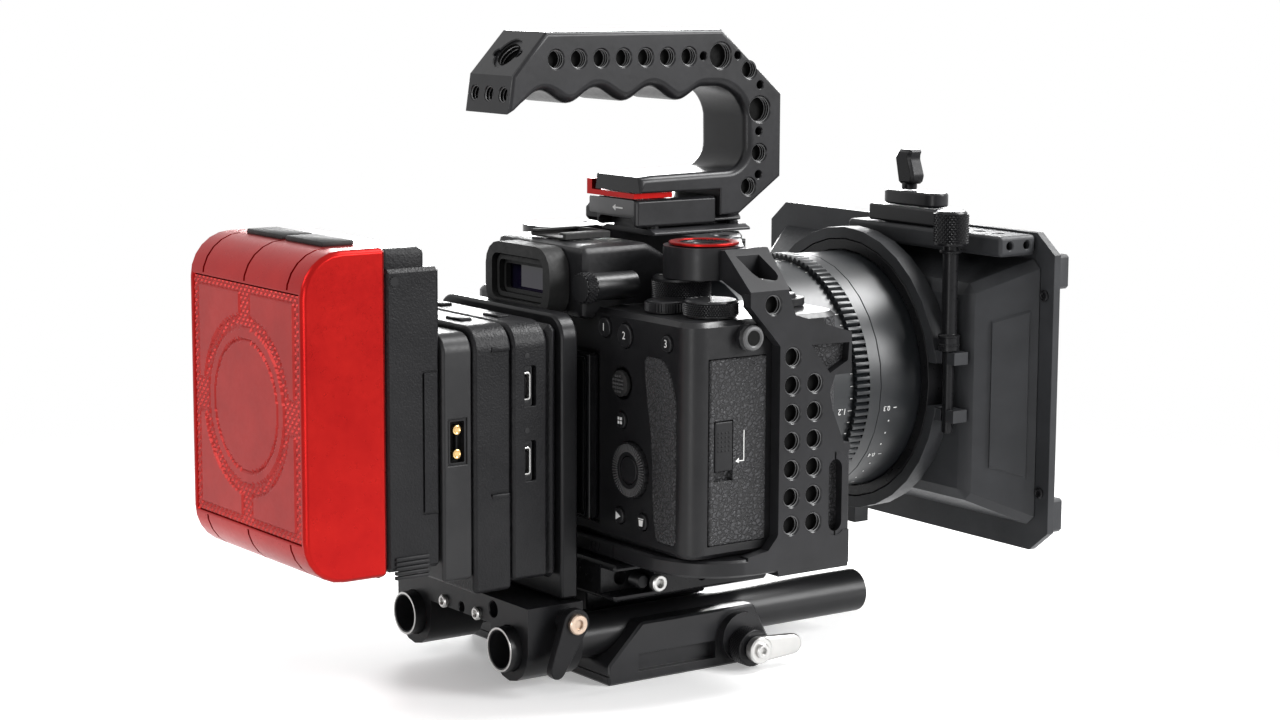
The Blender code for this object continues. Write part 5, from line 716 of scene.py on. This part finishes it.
MODE_DIAL, EXPOSURE_DIAL, REAR_DIAL = (37.0, 1.5, 124.3), (66.0, -8.0, 124.3), (49.0, -13.0, 124.3)
stand_in("mode_dial", [
    at(knurled(10.0, 0.9, 8.3, 66, 6, 0.42), MODE_DIAL),
    at(turned(((0, 0), (9.3, 0), (9.3, 1.0), (0, 1.1)), 48), MODE_DIAL),
    at(turned(((0, 8.0), (9.5, 8.2), (9.5, 9.0), (8.9, 9.6), (8.2, 9.8), (0, 9.8)), 48), MODE_DIAL)], BLACK, 20.0)
put("mode_dial_cap", at(turned(((0, 9.7), (7.6, 9.7), (7.5, 9.86), (0, 9.9)), 48), MODE_DIAL), GREY, "mode_dial")
stand_in("exposure_dial", [
    at(knurled(9.0, 0.6, 4.6, 60, 3, 0.42), EXPOSURE_DIAL),
    at(turned(((0, 0), (8.3, 0), (8.3, 0.7), (0, 0.8)), 48), EXPOSURE_DIAL),
    at(turned(((0, 4.3), (8.6, 4.5), (8.6, 4.9), (8.0, 5.4), (0, 5.4)), 48), EXPOSURE_DIAL)], BLACK, 20.0)
stand_in("rear_dial", [
    at(ribbed(7.4, 0.4, 3.2, 40, 0.4), REAR_DIAL),
    at(turned(((0, 0), (6.8, 0), (6.8, 3.5), (6.4, 3.8), (0, 3.8)), 48), REAR_DIAL)], BLACK, 25.0)


def on_dial(shape, middle, height, reach, angle):
    """A mark on top of a dial, its head turned outward."""
    outward = Vector((math.sin(angle), math.cos(angle), 0.0))
    return at(shape, Vector(middle) + Vector((0.0, 0.0, height)) + outward * reach, ((0, 0, 1), outward))


put("mode_dial_figures", [on_dial(lettering(text, 2.3), MODE_DIAL, 9.9, 6.2, math.tau * k / 10)
                          for k, text in enumerate("1234567890")], PAINT, "mode_dial")
stroke = ((-0.12, -0.7), (0.12, -0.7), (0.12, 0.7), (-0.12, 0.7))
put("exposure_dial_figures", [
    on_dial(slab(stroke, 0.0, 0.06) if k % 2 else lettering(str(abs(k - 6) // 2), 1.9), EXPOSURE_DIAL, 5.38, 6.6,
            math.tau * (k - 6) / 18) for k in range(13)], PAINT, "exposure_dial")
low, high = span("diopter_dial")
put("diopter_ribs", at(knurled((high.z - low.z) / 2 + 0.35, 0.5, high.y - low.y - 0.5, 26, 2, 0.33),
                       ((low.x + high.x) / 2, high.y, (low.z + high.z) / 2), "rear"), GREY, "diopter_dial", 15.0)

WHEEL = rear_face("control_wheel")
# The wheel's ridges are as black as the wheel; the pale grey on them is painted glint.
glinting_ridges = []
for k in range(54):
    angle = math.tau * k / 54
    outward = Vector((math.cos(angle), 0.0, math.sin(angle)))
    glinting_ridges.append(at(box((-0.24, -1.3, -0.2), (0.24, 1.3, 0.34), 0.1), WHEEL + outward * 7.4, ((0, -1, 0), outward)))
put("wheel_ridge_glints", glinting_ridges, SATIN_AND_GLINT, "control_wheel")
put("joystick_dots", [
    at(turned(((0, -0.3), (0.46, -0.3), (0.4, 0.2), (0, 0.34)), 12),
       rear_face("joystick") + Vector((1.25 * i, 0.0, 1.25 * j)), "rear")
    for i in range(-2, 3) for j in range(-2, 3) if abs(i) + abs(j) < 4], SATIN_AND_GLINT, "joystick")
put("latch_dots", [
    at(turned(((0, -0.2), (0.42, -0.2), (0.36, 0.14), (0, 0.24)), 12), (79.1, -14.4 + 1.45 * i, 82.6 + 1.45 * j),
       "right") for i in range(4) for j in range(5)], CONTROL, "card_latch")
put("door_arrow", at(gather([
    slab(((-4.2, 78.9), (-4.2, 88.6), (-3.9, 88.6), (-3.9, 78.6), (-6.2, 78.6), (-6.2, 78.9)), -0.1, 0.06),
    slab(((-6.0, 78.1), (-7.4, 78.75), (-6.0, 79.8)), -0.1, 0.06)]), (78.8, 0.0, 0.0), "right"), PAINT, "card_door")


def icon(node, outlines, scale=1.0):
    """Flat figures painted on the middle of a button."""
    flats = [slab([(x * scale, y * scale) for x, y in outline], -0.05, 0.05) for outline in outlines]
    put(node.replace("_button", "_icon"), [at(flat, rear_face(node) + PROUD, "rear") for flat in flats], PAINT, node)


PROUD = Vector((0.0, -0.01, 0.0))
icon("play_button", [((-0.8, -1.0), (1.1, 0.0), (-0.8, 1.0))], 1.4)
icon("trash_button", [((-0.7, -1.0), (0.7, -1.0), (0.9, 0.55), (-0.9, 0.55)),
                      ((-1.1, 0.75), (1.1, 0.75), (1.1, 1.0), (-1.1, 1.0))], 1.3)
icon("fn_button", [((x, y), (x + 0.95, y), (x + 0.95, y + 0.95), (x, y + 0.95))
                   for x in (-1.15, 0.2) for y in (-1.15, 0.2)])
for node, text in (("c1_button", "1"), ("af_on_button", "2"), ("ael_button", "3")):
    put(node + "_figure", at(lettering(text, 3.6), rear_face(node) + PROUD, "rear"), PAINT, node)
put("wheel_figures", [at(lettering(text, 2.6), WHEEL + Vector((x, 1.5, z)), "rear")
                      for text, x, z in (("4", 13.2, -12.4), ("0", 12.6, 0.6))], PAINT, "camera_body")


# Power modules and battery

def port(place, pocket, size, wall):
    """A socket in a right-hand face: a plate that fills its pocket, a metal rim, and a floor with a tongue that carry
    near-black painted shade over the socket's own dark colour.
    """
    plate = at(hoop(*pocket, 0.8, (pocket[0] - size[0]) / 2 + 0.05, -2.6, -0.5, 0.1), place, "right")
    rim = at(hoop(*size, 0.9, wall, -2.4, -0.35, 0.1), place, "right")
    inside = gather([at(slab(rounded(size[0], size[1], 0.8), -2.8, -2.3), place, "right"),
                     at(box((-0.3, 1.6 - size[1] / 2, -2.4), (0.3, size[1] / 2 - 1.6, -0.8), 0.1), place, "right")])
    return plate, rim, inside


MODULE_SIDE = 38.0
PORT_LEVELS = (102.3, 78.0)
POWER_SOCKET = (37.6, -86.0, 86.8)
front_ports = [(MODULE_SIDE, -60.2, z) for z in PORT_LEVELS]
plates, rims, socket_shades = zip(*[port(place, (4.4, 13.2), (3.2, 9.0), 0.4) for place in front_ports])
fillers = [at(box((-1.7, y, -2.6), (1.7, y + 1.7, -0.55), 0.1), place, "right")
           for place in front_ports for y in (-6.3, 4.6)]
put("port_plates", [*plates, *fillers], CONTROL, "module_front")
put("port_rims", rims, SILVER, "module_front")
# Painted shade in the sockets: their floors and tongues in near-black, over their own dark colour.
put("port_socket_shade", socket_shades, HOLE_SHADE_BLACK, "module_front")
put("port_lights", [
    at(turned(((0, -0.2), (0.95, -0.2), (0.9, 0.12), (0, 0.2)), 20), (MODULE_SIDE, -60.2, z), "right")
    for z in (112.2, 88.0)], SMOOTH, "module_front")


def vents(rear):
    """Five upright grooves in a module's left side, to be cut out."""
    return [box((-38.5, rear + 2.2 * k, 60.0), (-37.2, rear + 0.8 + 2.2 * k, 100.0)) for k in range(5)]


carve("module_rear", [
    at(slab(rounded(7.7, 48.0, 1.2), -0.9, 1.0), (MODULE_SIDE, -70.2, 91.5), "right"), *vents(-77.0)])
carve("module_front", vents(-63.0))
put("module_tabs", [box((37.2, -73.6, z), (38.3, -66.8, z + 1.6), 0.4) for z in (66.9, 114.4)]
                   + [box((x, y - 2.4, 122.4), (x + 9.0, y + 2.4, 123.5), 0.5) for x in (-22.0, 13.0)
                      for y in (-73.0, -58.8)], GRAINED, "module_rear")
plate, rim, inside = port(POWER_SOCKET, (7.3, 15.3), (6.4, 14.4), 0.5)
put("power_rim", [plate, rim], CONTROL, "battery_plate")
# Painted shade in the power socket: its floor and tongue in near-black, over its own dark colour.
put("power_socket_shade", inside, HOLE_SHADE_BLACK, "battery_plate")
put("power_pins", [
    at(turned(((0, -2.4), (1.5, -2.4), (1.5, -0.4), (1.1, -0.2), (0.8, -0.5), (0, -0.5)), 24),
       (*POWER_SOCKET[:2], z), "right") for z in (90.6, 82.9)], GOLD, "battery_plate")


def panel_height(x, z):
    """Relief of the battery's panel about its middle: smooth corner plates, diamond knurl and a plain ringed disc."""
    reach, across, up = math.hypot(x, z), abs(x), abs(z)
    groove, pitch = 0.06, 2.7
    if reach < 25.6:
        return groove if 24.6 < reach or 20.6 < reach < 21.4 else 0.62
    inset = min(across - 3.6, up - 5.6, reach - 28.6, 31.6 - across, 35.4 - up)
    if inset > -0.5:
        return 0.66 if inset > 0.2 else groove
    return 0.08 + 0.58 * (1.0 - 2.0 * max(abs((way / pitch) % 1.0 - 0.5) for way in (x + z, x - z)))


def relief_panel(node, step):
    """A closed panel whose rear face carries the relief on a square grid."""
    low, high = span(node)
    middle = (low + high) / 2
    columns, rows = (int((end - start) / 2 / step) for start, end in ((low.x, high.x), (low.z, high.z)))
    across = [low.x] + [middle.x + step * k for k in range(-columns, columns + 1)] + [high.x]
    up = [low.z] + [middle.z + step * k for k in range(-rows, rows + 1)] + [high.z]
    shape = bmesh.new()
    grid = [[shape.verts.new((x, high.y - 0.5 - panel_height(x - middle.x, z - middle.z), z)) for z in up]
            for x in across]
    for i in range(len(across) - 1):
        for j in range(len(up) - 1):
            shape.faces.new((grid[i][j], grid[i + 1][j], grid[i + 1][j + 1], grid[i][j + 1]))
    drawn = bmesh.ops.extrude_edge_only(shape, edges=[edge for edge in shape.edges if edge.is_boundary])
    for vertex in drawn["geom"]:
        if isinstance(vertex, bmesh.types.BMVert):
            vertex.co.y = high.y
    bmesh.ops.holes_fill(shape, edges=[edge for edge in shape.edges if edge.is_boundary], sides=0)
    return shape


stand_in("battery_panel", [relief_panel("battery_panel", 0.675)], DARK_RED, 12.0)


def arc(middle, radius, start, end):
    """Points on an arc in the plane of Y and Z."""
    turns = [math.radians(start + (end - start) * k / 16) for k in range(17)]
    return [(middle[0] + radius * math.cos(t), middle[1] + radius * math.sin(t)) for t in turns]


cuts = []
for x in (-28.0, 0.0, 28.0):
    for middle, start, end in (((-126.9, 135.8), 92.0, 172.0), ((-126.9, 60.7), 188.0, 268.0)):
        outline = arc(middle, 15.5, start, end) + arc(middle, 13.4, end, start)
        cuts.append(at(slab(outline, -0.55, 0.55), (x, 0.0, 0.0), "right"))
carve("battery_shell", cuts)
put("battery_pads", [box((x, -126.6, 149.5), (x + 24.0, -115.4, 151.3), 0.6) for x in (-25.0, 1.0)], RUBBER,
    "battery_shell")
carve("battery_base", [
    box((36.2, -98.0, 109.6), (38.0, -92.0, 110.4)), box((36.2, -98.0, 64.6), (38.0, -92.0, 65.4)),
    box((36.2, -98.4, 64.6), (38.0, -97.6, 110.4)), box((-38.0, -98.4, 64.6), (-36.2, -97.6, 110.4)),
])
put("base_latch", [box((36.0, -108.6, 45.0 + 1.5 * k), (37.5, -96.4, 46.1 + 1.5 * k), 0.3) for k in range(5)],
    CONTROL, "battery_base")
put("base_roller", at(ribbed(1.7, -3.0, 0.2, 14, 0.3), (36.8, -108.2, 139.0), "right"), CONTROL, "battery_base")


# Base, rods and clamps

put("rod_rims", [at(turned(((6.7, -0.1), (7.3, -0.1), (7.3, 0.06), (6.7, 0.06)), 48, True), (x, y, 15.0), side)
                 for x in (-30.0, 30.0) for y, side in ((-66.0, "rear"), (84.0, "front"))], SILVER, "rod_left")
carve("rod_clamp", [drill(2.6, 9.0, (20.2, -62.0, 26.0), "rear"), drill(1.7, 4.0, (0.5, -62.0, 22.8), "rear")])
put("rod_clamp_pins", [at(screw_head(2.2, 1.4, 1.1), (x, -62.0, 22.8), "rear") for x in (-10.0, 10.9)], SILVER,
    "rod_clamp")
low, high = span("rod_clamp_lever")
put("lever_screw", at(screw_head(3.4, 1.5, 1.5), (high.x, -47.5, 24.6), "right"), BRONZE, "rod_clamp_lever")
ROD_LOCK_Y, ROD_LOCK_Z = 22.0, 7.3
wing = (span("rod_lock_lever")[1].x, ROD_LOCK_Y, ROD_LOCK_Z)
put("wing_screw", [at(turned(((0, -0.3), (4.6, -0.3), (4.6, 0.3), (4.1, 0.7), (0, 0.7)), 36), wing, "right"),
                   at(screw_head(2.6, 1.9, 1.2), wing, "right")], SILVER, "rod_lock_lever")
low, high = span("rod_lock_knob")
put("knob_ribs", at(knurled((high.z - low.z) / 2 + 0.12, 0.8, high.x - low.x - 0.8, 32, 4, 0.1),
                    (low.x, ROD_LOCK_Y, ROD_LOCK_Z), "right"), DEEP, "rod_lock_knob", 15.0)
base_holes = [(x, y, 0.0) for x in (-14.0, 0.0, 14.0) for y in (-8.0, 8.0)]
carve("baseplate", [*[drill(3.2, 6.0, place, "under") for place in base_holes],
                    box((-44.0, -32.5, 3.0), (44.0, -31.0, 3.5))])
put("base_threads", [thread(3.2, 5.8, place, "under") for place in base_holes], DEEP, "baseplate")
carve("quick_release_clamp", [drill(2.2, 5.0, (44.0, y, 33.8), "right") for y in (6.0, 22.0)])
put("clamp_cap_screw", at(screw_head(2.9, 2.4, 1.4), (43.4, -12.6, 33.0), "right"), SILVER, "quick_release_clamp")
coils = [(2.0 + 0.5 * (k % 2), -6.0 + 0.55 * k) for k in range(11)]
put("clamp_spring", at(turned([(0, -6.2), *coils, (0, -0.3)], 28), (43.2, -17.6, 33.6), "right"), GREY,
    "quick_release_clamp")


# Lens

IRIS_RADIUS, FOCUS_RADIUS, FRONT_RADIUS = 40.52, 41.62, 43.02


def dash(half, angle, along, radius):
    """A short stroke laid along the lens."""
    return wrapped(slab(((-half, -0.14), (half, -0.14), (half, 0.14), (-half, 0.14)), 0.0, 0.05), radius, angle, along)


scale = []
for k, text in enumerate(("2", "2.8", "4", "5.6", "8", "11", "16", "22")):
    angle = 66.0 - 13.0 * k
    scale += [wrapped(lettering(text, 3.2), IRIS_RADIUS, angle, 52.0), dash(1.0, angle, 56.8, IRIS_RADIUS)]
put("iris_scale", scale, PAINT, "iris_ring")
scale = []
for k, text in enumerate(("1", "1.1", "1.2", "1.4", "1.6", "2", "2.5", "3", "4", "5", "7", "10", "15", "30")):
    angle = 37.6 - 24.0 * k
    scale += [wrapped(lettering(text, 3.2), FOCUS_RADIUS, angle, 68.4), dash(0.9, angle, 71.8, FOCUS_RADIUS)]
    scale += [dash(0.5, angle - 6.0 * step, 72.0, FOCUS_RADIUS) for step in (1, 2, 3)]
put("focus_scale", scale, PAINT, "focus_ring")
scale = []
dot = [(0.34 * math.cos(t), 0.34 * math.sin(t)) for t in (0.0, 1.05, 2.1, 3.14, 4.19, 5.24)]
for k, text in enumerate(("0.3", "0.4", "0.5", "0.7", "1", "2", "5")):
    angle = -10.6 - 26.0 * k
    scale += [wrapped(lettering(text, 2.6), FRONT_RADIUS, angle, 87.6), dash(0.7, angle, 91.4, FRONT_RADIUS)]
    scale += [wrapped(slab(dot, 0.0, 0.05), FRONT_RADIUS, angle - 6.5 * step, 89.5) for step in (1, 2, 3)]
put("depth_scale", scale, PAINT, "lens_front_barrel")


# Matte box

for side in (1, -1):
    normal = Vector((0.82 * side, -0.57, 0.0)).normalized()
    base = [Vector((side * (59.7 + (y - 112.3) * 0.692), y, z))
            for y, z in ((117.0, 113.6), (128.2, 117.4), (128.2, 56.4), (117.0, 60.0))]
    shape = bmesh.new()
    lower = [shape.verts.new(point - normal * 0.4) for point in base]
    middle = sum(base, Vector()) / 4
    upper = [shape.verts.new(point + (middle - point).normalized() * 1.5 + normal * 0.8) for point in base]
    shape.faces.new(upper)
    shape.faces.new(lower[::-1])
    for k in range(4):
        shape.faces.new((lower[k], lower[(k + 1) % 4], upper[(k + 1) % 4], upper[k]))
    put("shade_panel_" + ("right" if side > 0 else "left"), shape, MATTE, "matte_shade")
carve("flag_bracket", [drill(1.5, 4.0, (70.0, y, 139.6), "right") for y in (118.4, 126.4)]
      + [drill(1.9, 4.0, (x, 122.3, 143.0), "top") for x in (40.0, 50.0, 60.0)])
put("flange_screws", [
    at(screw_head(2.0, 0.9, 1.0), (x, y, z), side) for y, side in ((131.1, "rear"), (134.1, "front"))
    for x in (-74.5, 74.5) for z in (52.0, 122.0)], GREY, "matte_flange")
THUMB_X, THUMB_Y = 54.9, 104.6
put("thumb_knurl", at(knurled(6.25, 0.9, 11.0, 26, 6, 0.5), (THUMB_X, THUMB_Y, 139.5)), DEEP, "clamp_thumb_screw", 15.0)
collar = ((2.6, -0.5), (3.6, -0.5), (3.9, -0.2), (3.9, 0.3), (3.6, 0.6), (2.6, 0.6))
put("thumb_collars", [at(turned(collar, 32, True), (THUMB_X, THUMB_Y, z)) for z in (104.6, 107.6, 137.2)], GREY,
    "clamp_thumb_screw")


# Floor, light and camera

FLOOR_GLOW = 0.3
FADE_START, FADE_END = 0.16, 0.5
WORLD_LEVEL = 0.22
LAMPS = (("key", (1.15, 0.8, 0.64), (0.6, 0.6), 21.0), ("top", (0.2, 0.78, 1.05), (0.5, 0.5), 21.0),
         ("left", (-1.15, 0.82, 0.34), (0.6, 0.4), 15.0), ("rear", (-0.2, -1.2, 0.9), (0.7, 0.7), 8.0),
         ("fill", (0.75, -1.05, 0.1), (0.25, 0.5), 2.5))
LAMP_TARGET = (0.0, 0.0, 0.1)


def mirror_rays(owner):
    """One for rays that show the background: seen directly, in gloss or through glass."""
    rays = add_node(owner, "ShaderNodeLightPath")
    total = rays.outputs["Is Camera Ray"]
    for other in ("Is Glossy Ray", "Is Transmission Ray"):
        larger = add_node(owner, "ShaderNodeMath", operation="MAXIMUM")
        wire(owner, total, larger.inputs[0])
        wire(owner, rays.outputs[other], larger.inputs[1])
        total = larger.outputs[0]
    return total


def mix_shaders(owner, factor, first, second):
    mix = add_node(owner, "ShaderNodeMixShader")
    for source, target in zip((factor, first, second), mix.inputs):
        wire(owner, source, target)
    return mix.outputs[0]


def make_floor():
    """A pale floor that takes the shadow and fades into the white surroundings."""
    bpy.ops.mesh.primitive_plane_add(size=8.0)
    floor = bpy.context.object
    floor.name = "floor"
    material = new_material("pale_floor", (0.86, 0.86, 0.86), 0.7)
    plain = shader_of(material).outputs[0]
    glow = add_node(material, "ShaderNodeEmission", {"Strength": FLOOR_GLOW})
    lit = add_node(material, "ShaderNodeAddShader")
    wire(material, glow.outputs[0], lit.inputs[0])
    wire(material, plain, lit.inputs[1])
    shown = mix_shaders(material, mirror_rays(material), plain, lit.outputs[0])
    place = add_node(material, "ShaderNodeNewGeometry")
    reach = add_node(material, "ShaderNodeVectorMath", operation="LENGTH")
    wire(material, place.outputs["Position"], reach.inputs[0])
    fade = add_node(material, "ShaderNodeMapRange", {"From Min": FADE_START, "From Max": FADE_END},
                    interpolation_type="SMOOTHSTEP")
    wire(material, reach.outputs["Value"], fade.inputs["Value"])
    clear = add_node(material, "ShaderNodeBsdfTransparent")
    edge = mix_shaders(material, fade.outputs["Result"], shown, clear.outputs[0])
    wire(material, edge, material.node_tree.nodes["Material Output"].inputs["Surface"])
    floor.data.materials.append(material)


def make_world():
    """Soft light from all round, and plain white where the background itself is seen."""
    world = bpy.data.worlds.new("studio")
    bpy.context.scene.world = world
    world.use_nodes = True
    nodes = world.node_tree.nodes
    soft, white = nodes["Background"], add_node(world, "ShaderNodeBackground")
    for background, level in ((soft, WORLD_LEVEL), (white, 1.0)):
        fill(background, {"Color": (1.0, 1.0, 1.0, 1.0), "Strength": level})
    shown = mix_shaders(world, mirror_rays(world), soft.outputs[0], white.outputs[0])
    wire(world, shown, nodes["World Output"].inputs["Surface"])


def make_lamp(name, place, size, power):
    """An area lamp that looks at the middle of the rig."""
    lamp = bpy.data.lights.new(name, "AREA")
    lamp.shape = "RECTANGLE"
    lamp.size, lamp.size_y = size
    lamp.energy = power
    item = bpy.data.objects.new(name, lamp)
    item.location = place
    item.rotation_euler = (Vector(LAMP_TARGET) - Vector(place)).to_track_quat("-Z", "Y").to_euler()
    bpy.context.scene.collection.objects.link(item)


def make_camera():
    """The photograph's own camera, from the fit of its straight edges."""
    turn, drop, roll = math.radians(54.378), math.radians(8.548), math.radians(0.2685)
    back = Vector((math.sin(turn) * math.cos(drop), -math.cos(turn) * math.cos(drop), math.sin(drop)))
    right = Vector((math.cos(turn), math.sin(turn), 0.0))
    up = back.cross(right)
    tilted_right = right * math.cos(roll) + up * math.sin(roll)
    tilted_up = up * math.cos(roll) - right * math.sin(roll)
    matrix = Matrix((tilted_right, tilted_up, back)).transposed().to_4x4()
    eye = Vector((754.79, -529.45, 239.66))
    matrix.translation = eye * MM
    data = bpy.data.cameras.new("photo_camera")
    data.sensor_width = 36.0
    data.lens = 76.34
    data.clip_start = 0.01
    camera = bpy.data.objects.new("photo_camera", data)
    camera.matrix_world = matrix
    bpy.context.scene.collection.objects.link(camera)
    bpy.context.scene.camera = camera


make_floor()
make_world()
for lamp in LAMPS:
    make_lamp(*lamp)
make_camera()
bpy.context.scene.view_settings.view_transform = "Standard"
